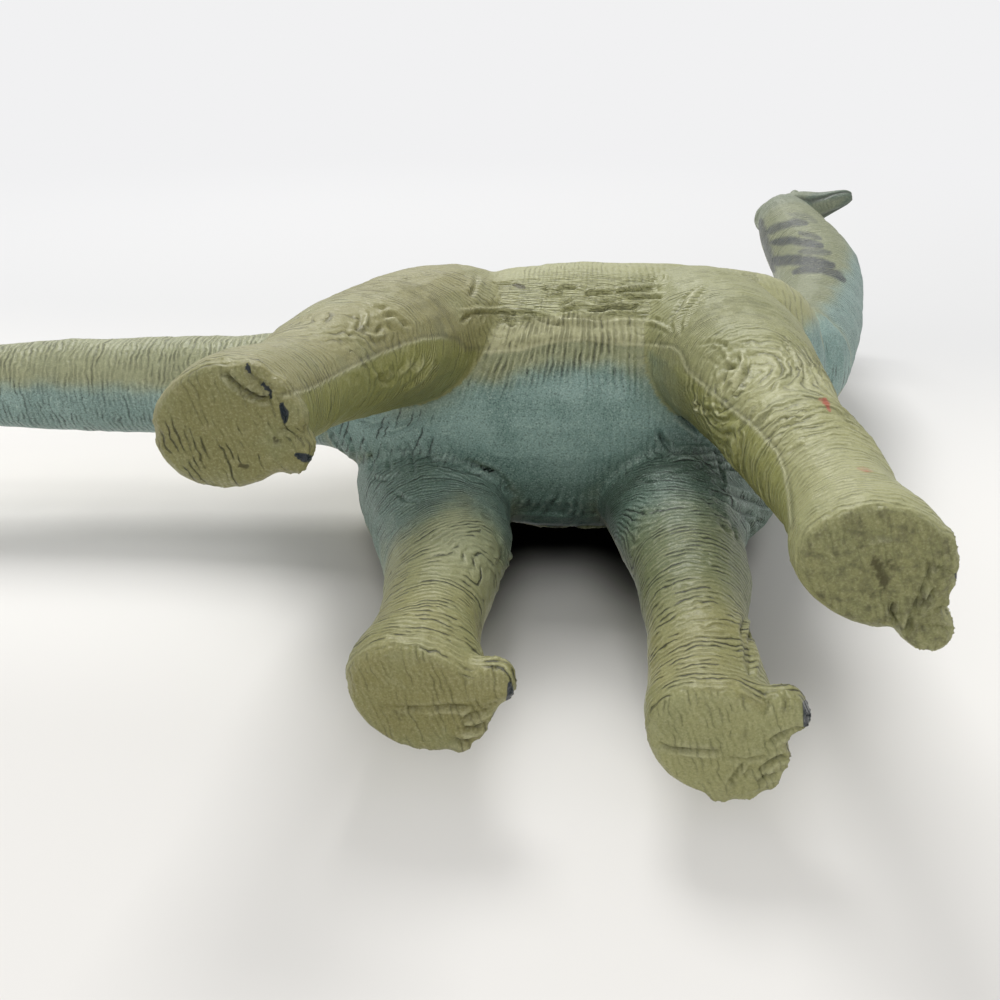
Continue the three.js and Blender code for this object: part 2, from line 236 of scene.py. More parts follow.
def largestPart(points, quads):
    # leaves out small shells inside the skin
    label = np.arange(len(points))
    settled = False
    while not settled:
        lowest = label[quads].min(axis=1)
        fresh = label.copy()
        for corner in quads.T:
            np.minimum.at(fresh, corner, lowest)
        fresh = fresh[fresh]
        settled = (fresh == label).all()
        label = fresh
    names, counts = np.unique(label, return_counts=True)
    kept = label == names[counts.argmax()]
    moved = np.cumsum(kept) - 1
    return points[kept], moved[quads[kept[quads[:, 0]]]]


def roundRims(points, quads, values):
    # softens the edge of each sole, as on a cast foot
    low = np.flatnonzero(points[:, 2] < values["rimHeight"] * 2)
    moved = np.full(len(points), -1)
    moved[low] = np.arange(len(low))
    near = moved[quads[(moved[quads] >= 0).all(axis=1)]]
    starts, ends = near.ravel(), np.roll(near, -1, axis=1).ravel()
    joined = np.bincount(starts, minlength=len(low))

    def average(row):
        return np.bincount(starts, row[ends], len(low)) / np.maximum(joined, 1)

    here = points[low]
    down = -pointNormals(points, quads)[low, 2]
    leastDown, mostDown = values["rimSlope"]
    weight = ((down > leastDown) & (down < mostDown) & (here[:, 2] < values["rimHeight"])).astype(float)
    for _ in range(values["rimSpread"]):
        weight = average(weight)
    weight = np.clip(weight * 3, 0, 1) * (joined > 3)
    for _ in range(values["rimSmoothing"]):
        for axis in range(3):
            here[:, axis] += weight * (average(here[:, axis]) - here[:, axis])
    points[low] = here
    return points, quads


nodeMeshes = {name: nodeArrays(name) for name in nodeNames}
points, quads = roundRims(*largestPart(*makeSkin(skinValues)), skinValues)
print("skin:", len(points), "points")


# Where each point lies on the animal

placeValues = {
    "jointBlend": 6,  # mm over which a limb's skin turns into the trunk's
    "soleSlope": (0.35, 0.8),  # how far down the skin faces on a sole
    "soleHeight": (5, 12),  # mm above the ground over which a sole ends
    "soleSkew": 0.35,  # mm that a sole's ridges move forward per mm to the right
    "seenFrom": 0.06,  # how far a point faces the lens to count as seen in the photograph
}


def treeOf(names):
    points, faces, owners = stacked([nodeMeshes[name] for name in names])
    return BVHTree.FromPolygons(points.tolist(), faces.tolist(), epsilon=0), owners


def nearest(names, where):
    # the nearest node for each point, and how far off it is
    tree, owners = treeOf(names)
    found = [tree.find_nearest(point) for point in where.tolist()]
    nodes = np.array([nodeNames.index(name) for name in names])
    return nodes[owners[[hit[2] for hit in found]]], np.array([hit[3] for hit in found])


def middleLine(nodePoints, axis, bins=40):
    # a limb's middle at even steps along an axis, from its own surface
    along = nodePoints[:, axis]
    low, high = along.min(), along.max()
    steps = np.linspace(low, high, bins)
    reach = (high - low) / bins * 1.6
    rows = []
    for step in steps:
        near = nodePoints[np.abs(along - step) < reach]
        rows.append((near.min(axis=0) + near.max(axis=0)) / 2)
    rows = np.array(rows)
    rows[:, axis] = steps
    kernel = np.ones(5) / 5
    for k in range(3):
        rows[:, k] = np.convolve(np.pad(rows[:, k], 2, mode="reflect", reflect_type="odd"), kernel, "valid")
    return rows


def alongLimb(name, own, where):
    # distance along the limb's curved middle in mm, and the offset from it
    axis = 0 if name == "tail" else 2
    rows = middleLine(own, axis)
    ways = unit(np.gradient(rows, axis=0))
    run = np.concatenate([[0], np.cumsum(np.linalg.norm(np.diff(rows, axis=0), axis=1))])
    at = rows[:, axis]
    middle = np.stack([np.interp(where[:, axis], at, rows[:, k]) for k in range(3)], 1)
    way = unit(np.stack([np.interp(where[:, axis], at, ways[:, k]) for k in range(3)], 1))
    offset = where - middle
    lean = np.sum(offset * way, axis=1)
    return np.interp(where[:, axis], at, run) + lean, offset - lean[:, None] * way


def facingOf(points, normals):
    return np.sum(normals * unit(np.array(cameraValues["place"]) - points), axis=1)


limbOwner, limbGap = nearest(limbNodes, points)
trunkOwner, trunkGap = nearest(trunkNodes, points)
onLimb = limbGap < trunkGap
owner = np.where(onLimb, limbOwner, trunkOwner)
limbShare = rise(trunkGap - limbGap, -placeValues["jointBlend"], placeValues["jointBlend"])
limbName = np.array(nodeNames)[limbOwner]
limbRun = np.zeros(len(points))
limbOffset = np.zeros_like(points)
for name in limbNodes:
    mine = limbName == name
    limbRun[mine], limbOffset[mine] = alongLimb(name, points[mine & onLimb], points[mine])
normals = pointNormals(points, quads)
sole = rise(-normals[:, 2], *placeValues["soleSlope"]) * fall(points[:, 2], *placeValues["soleHeight"])
soleRun = points[:, 0] - placeValues["soleSkew"] * points[:, 1]
pixelX, pixelY = toPicture(points)
facing = facingOf(points, normals)
seen = facing > placeValues["seenFrom"]
print("limbs measured")


def ownedBy(*names):
    return np.isin(owner, [nodeNames.index(name) for name in names])


def perLimb(shares, other=0.0):
    # each point's entry for its limb, or the other value
    total = np.full(len(points), float(other))
    for name, share in shares.items():
        total = np.where(limbName == name, share, total)
    return total


onTrunk = ownedBy(*trunkNodes)
onNeck, onTail, onHead = (limbName == name for name in ("neck", "tail", "head"))
onLeftLegs, onRightLegs = (np.isin(limbName, names) for names in (leftLegs, rightLegs))


# Folds and creases, each drawn through the photograph's pixels: half width, height in mm, and then
# x and y of each point. Positive heights stand proud, negative ones are grooves.

flankFolds = [
    (2.34, 0.45, 461, 310, 481, 308, 501, 310, 520, 308, 531, 309, 543, 314, 559, 319, 569, 321),
    (1.61, -0.8, 461, 323, 465, 317, 474, 313, 487, 312, 501, 312, 514, 313),
    (1.54, -0.7, 529, 314, 537, 319, 549, 323, 561, 324),
    (1.98, 0.35, 523, 313, 534, 317, 545, 321, 553, 323),
    (1.54, -0.6, 506, 318, 508, 324, 511, 326, 514, 324, 514, 320),
    (1.8, 0.5, 509, 317, 513, 317, 511, 322),
    (1.98, 0.45, 520, 317, 526, 316, 532, 318, 537, 322, 536, 326),
    (1.54, -0.5, 520, 320, 523, 324, 527, 327),
    (1.98, 0.35, 498, 315, 503, 318, 504, 323),
    (1.4, -0.4, 466, 318, 464, 324),
    (1.4, -0.35, 474, 316, 472, 322),
    (1.4, -0.35, 483, 315, 481, 323),
    (1.4, -0.35, 493, 315, 492, 323),
    (1.54, -0.45, 493, 282, 502, 283, 512, 281, 518, 283),
    (2.24, -0.7, 516, 285, 522, 285),
    (2.16, 0.4, 526, 282, 540, 283, 546, 285, 559, 285, 576, 285, 584, 286),
    (1.54, -0.7, 542, 288, 550, 291, 557, 291, 564, 288.5, 576, 288),
    (2.1, -0.3, 548, 297, 558, 296, 566, 297),
    (2.16, 0.45, 583, 293, 591, 290, 603, 289, 616, 290, 630, 286, 640, 285, 651, 285, 661, 285, 666, 279,
     666, 273),
    (1.54, -0.55, 586, 294, 594, 294, 604, 294, 612, 294),
    (1.54, -0.55, 617, 294, 626, 291, 637, 289, 650, 289),
    (1.54, -0.6, 627, 298, 640, 297.5, 651, 298, 660, 298.5),
    (1.98, 0.35, 622, 295, 636, 294, 654, 295, 664, 293),
    (1.54, -0.5, 596, 303.5, 606, 303, 617, 304),
    (1.54, -0.35, 560, 305.7, 569, 303, 574, 300.7),
    (2.16, 0.4, 560, 309, 569, 306, 574, 303.5, 583, 303.5, 594, 306, 604, 306.5, 619, 305, 626, 304, 640,
     303),
    (1.68, -1, 590, 311.5, 594, 311, 604, 310, 611, 308.5),
    (1.54, -0.7, 604, 310, 611, 308.5, 626, 308, 631, 308.5, 637, 306),
    (1.54, -0.4, 561, 311, 573, 309, 581, 310),
    (1.54, -0.4, 577, 318.5, 586, 318.5, 594, 320),
    (1.98, 0.35, 586, 314.5, 600, 315, 616, 313),
    (2.16, 0.45, 561, 322, 574, 321, 583, 321, 596, 322.5, 609, 322.5, 624, 321, 640, 321, 651, 322.5, 660,
     325, 669, 328.5, 671, 334),
    (1.54, -0.35, 653, 319, 660, 320),
    (1.54, -0.4, 662, 333, 660, 338.5, 657, 344),
    (1.98, 0.3, 647, 279, 648, 273),
    (1.98, 0.3, 653, 280, 654, 273),
    (1.98, 0.3, 659, 280, 660, 273),
    (3.15, -0.5, 477, 274, 475, 286, 471, 298),
    (2.7, 0.45, 704, 286, 689, 301, 681, 311, 676, 323, 676, 336),
    (1.68, -0.35, 697, 287, 683, 300, 675, 312, 671, 322),
    (2.16, 0.35, 706, 296, 694, 307, 686, 317, 682, 330),
    (2.16, 0.3, 789, 345, 795, 356, 799, 366),
    (1.54, -0.6, 800, 362, 802, 368),
    (1.54, -0.3, 783, 340, 790, 352, 796, 364),
]
bellyFolds = [
    (2.8, -1.4, 673, 400, 680, 406, 688, 412.5, 696, 418),
    (2.8, -1.2, 674, 411, 680, 417.5, 689, 425, 700, 433),
    (2.6, -1, 705, 426, 716, 434, 725, 441),
    (2.8, -1.3, 658, 431, 663, 441, 671, 451, 680, 454),
    (2.8, -1.4, 676, 454, 692, 454, 705, 452.5, 716, 451, 727, 454),
    (2.6, -1.3, 704, 460, 718, 459, 730, 460, 737, 460),
    (2.4, -1, 721, 466, 732, 467.5, 748, 467),
    (2, -0.5, 700, 465, 711, 464),
    (2.4, -0.8, 640, 480, 651, 479, 670, 475, 687, 471, 707, 467, 718, 465),
    (2.4, -0.9, 714, 481, 726, 490, 740, 497, 755, 502),
    (2.4, -0.8, 712, 492, 726, 502, 738, 509, 753, 516),
    (2.4, -0.7, 722, 498, 740, 512, 750, 524, 753, 538),
    (2.4, -0.9, 720, 521, 729, 529),
    (2.4, -0.6, 706, 500, 720, 510, 733, 524, 740, 540),
    (2.2, -0.7, 728, 488, 745, 496, 762, 505, 773, 507),
    (2.2, -0.45, 700, 440, 712, 450, 722, 470, 724, 486),
    (2.2, -0.5, 735, 472, 750, 480, 768, 484),
    (2.2, -0.4, 730, 430, 745, 446, 760, 470),
    (2.2, -0.45, 745, 508, 757, 520, 765, 524),
    (2.2, 0.4, 732, 506, 744, 517, 748, 530),
    (2.2, -0.4, 652, 436, 648, 450, 655, 462),
    (3, -0.9, 430, 464, 451, 464, 466, 463, 480, 466, 495, 473, 505, 482, 512, 495),
    (2.4, -0.6, 436, 471, 456, 469, 476, 472, 490, 480),
    (2.2, -0.6, 356, 421, 373, 427, 393, 425.5, 410, 420),
    (2.2, -0.5, 376, 433, 390, 436, 403, 431, 418, 424),
    (2.2, -0.5, 345, 430, 352, 447, 356, 462),
    (2.2, -0.5, 362, 436, 370, 452, 372, 468),
    (2.2, -0.45, 384, 442, 390, 455, 389, 470),
    (2.2, -0.5, 330, 430, 336, 442, 346, 458),
    (2.2, -0.5, 396, 492, 402, 498, 416, 500),
    (2.2, -0.5, 412, 497, 419, 503),
    (2.2, -0.45, 372, 478, 386, 480, 400, 475),
    (2.2, -0.4, 420, 430, 428, 445, 430, 462),
    (2.2, -0.4, 405, 440, 412, 455, 414, 475),
    (2.2, -0.4, 318, 422, 324, 434),
]
footFolds = [
    (2.4, -0.4, 382, 709, 420, 708, 450, 706, 478, 707, 497, 704),
    (2.8, -0.6, 494, 707, 484, 712, 470, 714, 462, 720),
    (2.8, -0.6, 487, 724, 474, 729, 462, 728),
    (2.8, -0.6, 474, 739, 462, 742, 452, 738),
    (2.2, -0.6, 656, 742, 669, 748, 700, 751, 720, 752),
    (2.2, -0.4, 728, 758, 745, 760, 765, 758),
    (3, -0.8, 806, 730, 796, 729, 786, 733, 776, 738, 769, 744),
    (2.6, -0.7, 789, 757, 778, 758, 766, 765, 758, 774),
    (2.6, -0.7, 778, 775, 766, 776, 758, 784),
    (2.4, -0.6, 745, 762, 737, 772, 730, 782, 734, 790),
    (2.4, -0.5, 752, 766, 744, 778),
    (2.2, -0.45, 748, 724, 744, 735, 748, 744),
    (2.4, -0.5, 763, 694, 768, 705, 766, 716),
    (2.4, -0.45, 780, 690, 786, 702, 784, 714),
    (2.6, -0.8, 224, 372, 234, 383, 246, 391, 258, 398, 270, 400),
    (2.2, -0.4, 245, 362, 249, 372, 258, 380, 268, 388, 272, 396),
    (2.6, -0.6, 272, 438, 284, 443),
    (2.6, -0.5, 280, 428, 290, 432),
    (2.4, -0.8, 929, 560, 930, 575, 922, 592, 914, 610, 905, 632),
    (2.2, -0.6, 892, 597, 892, 612, 897, 626),
    (2.2, -0.6, 936, 588, 924, 603, 914, 620, 908, 634),
    (2.2, -0.5, 955, 571, 946, 573, 936, 566),
    (2.2, -0.5, 957, 602, 946, 610, 936, 607),
    (2.2, -0.5, 951, 629, 940, 627, 920, 626),
    (2.4, 0.4, 868, 545, 880, 541, 893, 543),
]
legFolds = [
    (2.6, -0.6, 745, 618, 741, 632, 746, 650, 749, 668),
    (2.6, -0.6, 752, 622, 748, 640, 752, 660, 753, 676),
    (2.4, 0.6, 748, 620, 756, 628, 755, 640),
    (2.6, -0.6, 500, 545, 504, 556, 497, 566),
    (2.4, 0.6, 508, 552, 510, 562, 504, 570),
    (2.4, -0.5, 494, 530, 500, 545),
]
kneeFolds = [
    (2.2, -0.5, 377.5, 306, 382.5, 309, 387.5, 309.5),
    (2.2, -0.6, 385, 316, 389, 315, 397.5, 317),
    (2.4, -0.8, 398, 320, 404, 324, 410, 326),
    (2, -0.4, 390, 327.5, 396, 328),
    (2.2, -0.6, 377, 332, 380, 327.5, 383, 326),
    (2.2, -0.4, 370, 325, 373, 328),
    (2.2, -0.5, 360, 316, 360, 322.5, 356, 330),
    (2.2, -0.45, 345, 329, 349, 335, 353, 338),
    (2.2, -0.45, 359, 343, 364, 347.5),
    (2.4, 0.5, 364, 311, 366, 320, 363, 327),
    (2.4, 0.5, 384, 320, 392, 321, 399, 326),
    (2.4, 0.45, 373, 314, 380, 317),
    (2.4, 0.45, 349, 322, 354, 326),
    (2.4, 0.4, 366, 335, 376, 338, 386, 334),
    (2.2, -0.6, 381, 377.5, 384, 382.5, 390, 383, 394, 379),
    (2, 0.45, 380, 370, 385, 375),
    (2, 0.45, 386, 370, 393, 376),
    (2, 0.45, 373, 372, 378, 378),
    (2.2, 0.5, 410, 360, 407.5, 367.5, 400, 376),
    (2.2, -0.6, 417.5, 360, 416, 364, 410, 372),
    (2.2, 0.45, 422.5, 357.5, 421, 364, 415, 372),
    (2.2, -0.45, 402.5, 365, 398, 373),
    (2.2, -0.45, 428, 358, 425, 370, 414, 382, 402, 390),
    (2.2, -0.35, 436, 360, 432, 376, 420, 388),
    (2.2, -0.45, 699, 345, 709, 343, 717.5, 343, 729, 346),
    (2.2, -0.45, 704, 349, 711, 347.5, 720, 349),
    (2.6, -0.9, 724, 363, 730, 366.5, 736, 364),
    (2.4, -0.8, 724, 367, 725, 371, 722.5, 377.5, 720, 384),
    (2.2, -0.4, 713, 362, 719, 365),
    (2.4, 0.6, 721, 350, 728, 355, 728, 360, 723, 364),
    (2.2, 0.45, 715, 369, 717.5, 376, 719, 381),
    (2.2, 0.4, 706, 356, 713, 356),
    (2.4, 0.5, 741, 350, 742.5, 360, 741, 370, 735, 377.5, 727.5, 385),
    (2.2, -0.45, 736, 352.5, 738.5, 360, 736, 370),
    (2.4, -0.7, 747.5, 360, 746, 371, 740, 382.5, 734, 391, 727.5, 400),
    (2.4, 0.6, 754, 359, 753, 364),
    (2.2, 0.35, 752, 370, 748, 380, 740, 392),
    (2.4, -0.5, 748, 398, 742.5, 404, 737.5, 409),
    (2.4, -0.5, 760, 407.5, 755, 415, 750, 422.5),
    (2.4, -0.55, 800, 410, 790, 416, 780, 425, 771, 435, 766, 441),
    (2.4, -0.55, 805, 415, 792.5, 422.5, 785, 430, 777.5, 439, 772.5, 447.5),
    (2.4, -0.5, 770, 412, 763, 420, 757, 430),
    (2.4, -0.5, 805, 441, 796, 446, 787.5, 454),
    (2.4, -0.5, 828, 412, 840, 414, 850, 418),
    (2.2, -0.5, 694, 407, 701, 405),
    (2.2, -0.5, 703, 401, 709, 400),
    (2.2, -0.5, 704, 410, 714, 410),
    (2.2, 0.5, 694, 401, 698, 410, 706, 415),
    (2.2, 0.4, 710, 405, 718, 408),
]
foldSets = [  # the rows, the nodes that carry them, their strength, share of the wobble and top in mm
    (flankFolds, ["torso", *rightLegs], 1, 1, 999),
    (bellyFolds, [*trunkNodes, *leftLegs, "tail"], 1, 1, 999),
    (footFolds, legNodes, 1.5, 0.5, 16),
    (legFolds, leftLegs, 1, 0.5, 999),
    (kneeFolds, ["torso", *rightLegs], 1, 0.4, 999),
]


strokeValues = {
    "core": 0.75,  # widths and places across a stroke, as shares of its half width
    "bankHeight": -0.4,  # of the height
    "bankPlace": 1.8,
    "bankWidth": 0.8,
    "endRun": 2.5,  # half widths over which a stroke fades at its ends
    "endShare": 0.25,
    "uneven": 0.5,
    "unevenSize": 2.2,  # mm
    "wobble": 1.3,  # pixels
    "wobbleSize": 2.6,  # mm
}


def lineGap(px, py, line):
    # each pixel's distance from a line, how far along it lies, the line's length, and its side
    line = np.array(line, float).reshape(-1, 2)
    best = np.full(len(px), 1e9)
    place, side = np.zeros(len(px)), np.zeros(len(px))
    run = 0
    for (x0, y0), (x1, y1) in zip(line[:-1], line[1:]):
        dx, dy = x1 - x0, y1 - y0
        length = math.hypot(dx, dy)
        share = np.clip(((px - x0) * dx + (py - y0) * dy) / length ** 2, 0, 1)
        gap = np.hypot(px - x0 - share * dx, py - y0 - share * dy)
        nearer = gap < best
        best = np.where(nearer, gap, best)
        place = np.where(nearer, run + share * length, place)
        side = np.where(nearer, np.sign(dx * (py - y0) - dy * (px - x0)), side)
        run += length
    return best, place, run, side


def strokeField(px, py, line, half):
    # the distance from a drawn line, and a share that fades towards its ends
    best, place, run, _ = lineGap(px, py, line)
    inside = np.minimum(place, run - place) / (strokeValues["endRun"] * half)
    return best, np.clip(inside + strokeValues["endShare"], 0, 1)


def sideOfLine(px, py, line):
    # signed distance in pixels, positive below or right of the line
    best, _, _, side = lineGap(px, py, line)
    return side * best


def drawStrokes(strokes, px, py, allowed, wobble, values=strokeValues):
    height = np.zeros(len(px))
    where = np.flatnonzero(allowed)
    x, y = px[where] + wobble[where, 0], py[where] + wobble[where, 1]
    for half, high, *line in strokes:
        xs, ys = line[::2], line[1::2]
        margin = 4 * half
        near = ((x > min(xs) - margin) & (x < max(xs) + margin)
                & (y > min(ys) - margin) & (y < max(ys) + margin))
        best, fade = strokeField(x[near], y[near], line, half)
        bank = bump(best - values["bankPlace"] * half, values["bankWidth"] * half)
        height[where[near]] += high * fade * (bump(best, values["core"] * half) + values["bankHeight"] * bank)
    return height


uneven = 0.85 + strokeValues["uneven"] * latticeNoise(points / strokeValues["unevenSize"], 5)
wobble = strokeValues["wobble"] * np.stack(
    [latticeNoise(points / strokeValues["wobbleSize"], seed) for seed in (3, 4)], 1)
cut = np.zeros(len(points))
for rows, names, strength, share, top in foldSets:
    allowed = seen & ownedBy(*names) & (points[:, 2] < top)
    cut += strength * drawStrokes(rows, pixelX, pixelY, allowed, wobble * share)

# The other flank carries the same folds, mirrored in the animal's middle plane
middleY = (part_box("belly_panel")[0].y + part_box("belly_panel")[1].y) / 2 / mm
mirrored = points * (1, -1, 1) + (0, 2 * middleY, 0)
mirrorFacing = facingOf(mirrored, normals * (1, -1, 1))
otherFlank = (mirrorFacing > placeValues["seenFrom"]) & ~seen & ownedBy("torso")
cut += drawStrokes(flankFolds, *toPicture(mirrored), otherFlank, wobble)
cut *= uneven
print("folds drawn")


# Wrinkles that cross the limbs and the flank, and knots at the knees and elbows

wrinkleValues = {
    "ringPitch": 2.5,  # mm from one coarse wrinkle to the next along a limb
    "ringRun": 7,  # mm that a wrinkle runs before it breaks
    "ringDepth": 0.12,
    "ribPitch": 1.9,
    "ribRun": 14,
    "ribDepth": 0.1,
    "lumpSize": 8,
    "lumpHeight": 0.22,
    "soleSize": 2.3,
    "soleHeight": 0.14,
    "knotSize": 1.7,
    "knotHeight": 0.3,
    "knotReach": 5.5,
    "swirl": 0.35,  # how far the wrinkles turn round a knot
    "swirlReach": (8, 22),
    "cuffDepth": 0.27,  # mm of the even rings below the elbow
    "cuffPitch": 1.9,
    "cuffFoot": (18, 42),  # mm above the ground over which they set in
    "cuffTop": (60, 70),  # the same, over which they end
}
knotPlaces = {  # the leg that carries each knotted fold, and the pixel at its middle
    "elbow": (rightFront, (727, 358)),
    "knee": (rightHind, (381, 319)),
    "innerKnee": (rightHind, (384, 377)),
}


def skinPointAt(leg, pixel):
    mine = np.flatnonzero(ownedBy(leg) & (facing > 0.1))
    return mine[np.hypot(pixelX[mine] - pixel[0], pixelY[mine] - pixel[1]).argmin()]


def twinOf(index, leg):
    # the place on the other leg of the pair with the same height and the mirrored side
    mine = np.flatnonzero(ownedBy(leg))
    score = (np.abs(points[mine, 2] - points[index, 2]) / 4
             + np.linalg.norm(unit(limbOffset[mine]) - unit(limbOffset[index]) * (1, -1, 1), axis=1) * 4)
    return mine[score.argmin()]


knotGap = np.full(len(points), 99.0)
for leg, pixel in knotPlaces.values():
    spot = skinPointAt(leg, pixel)
    twin = leg.replace("right", "left")
    for index, name in ((spot, leg), (twinOf(spot, twin), twin)):
        gap = np.linalg.norm(points - points[index], axis=1) + np.where(ownedBy(name) | onTrunk, 0, 99)
        knotGap = np.minimum(knotGap, gap)
swirl = wrinkleValues["swirl"] * fall(knotGap, *wrinkleValues["swirlReach"])
limbRun = limbRun * (1 - swirl) + swirl * knotGap


def wrinkles(run, pitch, length, seed):
    sample = np.column_stack([points / length, run / pitch])
    return latticeNoise(sample, seed) + 0.5 * latticeNoise(sample * 2.1, seed + 1)


def skinRelief(values):
    lumps = points / values["lumpSize"]
    rings = wrinkles(limbRun, values["ringPitch"], values["ringRun"], 11)
    ribs = wrinkles(trunkRun, values["ribPitch"], values["ribRun"], 21)
    broken = 0.4 + 0.6 * rise(latticeNoise(points / 7, 91), -0.4, 0.3)
    cuff = (perLimb({rightFront: 1}) * limbShare * (1 - sole) * rise(points[:, 2], *values["cuffFoot"])
            * fall(points[:, 2], *values["cuffTop"]) * broken)
    waves = np.sin(2 * math.pi * limbRun / values["cuffPitch"] + 2.2 * latticeNoise(points / 6, 92))
    return (cut
            + limbShare * values["ringDepth"] * (1 - 0.6 * sole) * rings
            + (1 - limbShare) * (1 - 0.85 * panel) * values["ribDepth"] * ribs
            + (1 - 0.8 * panel) * (1 - 0.5 * sole) * values["lumpHeight"]
            * (latticeNoise(lumps, 31) + 0.5 * latticeNoise(lumps * 2.3, 32))
            + sole * values["soleHeight"] * latticeNoise(points / values["soleSize"], 41)
            + knot * values["knotHeight"] * latticeNoise(points / values["knotSize"], 51)
            + cuff * values["cuffDepth"] * waves)


trunkRun = points[:, 0] + 0.1 * points[:, 2] + 0.4 * points[:, 1] * fall(points[:, 0], 58, 80)
panel = ownedBy("belly_panel").astype(float)
knot = bump(knotGap, wrinkleValues["knotReach"])
points = points + skinRelief(wrinkleValues)[:, None] * normals
normals = pointNormals(points, quads)
print("wrinkles made")


# The head's snout narrows, and its eyes, nostrils and mouth are raised and cut

headValues = {
    "skull": (124.5, -9.0, 244.8),
    "turn": -15,  # degrees to the left
    "pitch": 8,
    "taper": 0.36,
    "lean": 1.2,  # mm that the snout's tip lies nearer to the right side
    "taperRun": (9, 21),
    "eye": (6, 5.4, 5.1),  # mm ahead of the skull's middle, up and out
    "eyeSize": 1.75,
    "eyeRise": 0.55,
    "socketDepth": 0.3,
    "nostril": (11.4, 5.4, 2.05),
    "nostrilSize": 0.8,
    "nostrilDepth": 0.5,
    "mouth": [5.5, -1.0, 9, -2.2, 14, -2.6, 23, -2.6],  # mm ahead and up, point by point
    "mouthDepth": 0.4,
}


def headAxes(values):
    turn, pitch = math.radians(values["turn"]), math.radians(values["pitch"])
    ahead = np.array((math.cos(turn) * math.cos(pitch), math.sin(turn) * math.cos(pitch), math.sin(pitch)))
    left = np.array((-math.sin(turn), math.cos(turn), 0.0))
    return np.column_stack([ahead, left, np.cross(ahead, left)])


def headGap(place):
    # distance from a spot that both sides of the head have
    spots = np.stack([along, high, np.abs(out)], 1)
    return np.where(isHead, np.linalg.norm(spots - place, axis=1), 99)


def faceRelief(values):
    size = values["eyeSize"]
    return (values["eyeRise"] * fall(eyeGap, 0.4 * size, size)
            - values["socketDepth"] * bump(eyeGap - 1.25 * size, 0.35)
            - values["nostrilDepth"] * fall(nostrilGap, 0.2, 1.4 * values["nostrilSize"])
            - values["mouthDepth"] * bump(mouthGap, 0.5))


isHead = ownedBy("head")
axes = headAxes(headValues)
along, out, high = ((points - headValues["skull"]) @ axes).T
taper = rise(along, *headValues["taperRun"]) * isHead
points = points - (taper * (headValues["taper"] * out + headValues["lean"]))[:, None] * axes[:, 1]
eyeGap, nostrilGap = headGap(headValues["eye"]), headGap(headValues["nostril"])
mouthGap = np.where(isHead & (along > 0), lineGap(along, high, headValues["mouth"])[0], 99)
points = points + faceRelief(headValues)[:, None] * normals
normals = pointNormals(points, quads)
pixelX, pixelY = toPicture(points)
print("head shaped")


# Paint masks, among them painted highlight and painted shade. Lines are pixels of the photograph; strokes
# have their half width and strength first.

partingLine = [
    (284, 397), (309, 390.5), (326, 382), (353, 368), (380, 355), (405, 345), (422, 340), (442, 338),
    (456, 342), (464, 351), (488, 352), (520, 350), (542, 344), (561, 341), (585, 339.5), (614, 343),
    (648, 345.5), (673, 348), (680, 354), (687, 371), (707, 390), (731, 410), (755, 429), (777, 453),
    (784, 473), (788, 497), (790, 525),
]
throatLine = [
    (790, 326), (812, 314), (826, 302), (836, 285), (846, 262), (850, 235), (838, 205), (826, 190),
]
paintLine = [
    (-80, 382), (50, 384), (150, 387), (250, 382), (350, 368), (442, 350), (488, 352), (520, 350),
    (542, 344), (561, 341), (585, 339.5), (614, 343), (648, 345.5), (673, 348), (720, 345), (780, 335),
    (830, 325), (900, 300),
]
neckStripes = [
    (7, 0.8, 760, 222, 763, 240, 768, 258, 772, 270),
    (4.5, 0.8, 764, 234, 780, 226, 796, 222, 806, 223),
    (4.5, 0.9, 772, 243, 790, 240, 806, 243, 822, 246),
    (3.5, 0.7, 800, 233, 810, 235, 820, 239),
    (4, 0.7, 800, 252, 814, 251, 830, 253),
    (5.5, 1, 768, 262, 790, 260, 810, 261, 832, 266),
    (4.5, 0.9, 794, 272, 806, 269, 822, 269, 836, 274, 844, 280),
    (3.5, 0.5, 790, 214, 806, 216, 816, 222),
]
backMarks = [
    (5, 0.8, 284, 327, 296, 324, 308, 321, 318, 316),
]
headMarks = [
    (4.5, 0.9, 800, 206, 816, 197, 834, 194, 850, 193),
    (4, 0.8, 818, 224, 832, 216, 846, 204, 850, 196),
]
dirtMarks = [
    (7, 0.7, 872, 560, 880, 572, 884, 585),
    (5, 0.6, 858, 545, 866, 548),
    (5, 0.6, 888, 563, 894, 570),
    (5, 0.5, 862, 590, 872, 596),
    (3.5, 0.8, 242, 467, 248, 469),
    (3, 0.7, 272, 439, 277, 441),
    (6, 0.4, 392, 713, 404, 718),
    (3.4, 0.9, 515, 284, 523, 286),
    (4, 0.4, 430, 720, 440, 722),
]
rubMarks = [
    (3.4, 1, 825, 400, 828, 406, 829, 411),
    (3.4, 0.7, 820, 399, 824, 404),
    (3.5, 0.6, 858, 468, 866, 471, 872, 473),
]
nailMarks = [
    (6, 1, 806, 704, 809, 714, 807, 726),
    (3.5, 1, 510, 684, 511, 694, 508, 704),
    (4.2, 1, 281, 405, 284, 412, 285, 421),
    (4.5, 1, 297, 455, 304, 458, 313, 459),
    (2.2, 0.9, 247, 364, 250, 372),
    (2.2, 0.9, 262, 384, 269, 391, 271, 398),
    (2.2, 0.7, 955, 572, 957, 580),
    (2.2, 0.7, 496, 712, 493, 718),
]
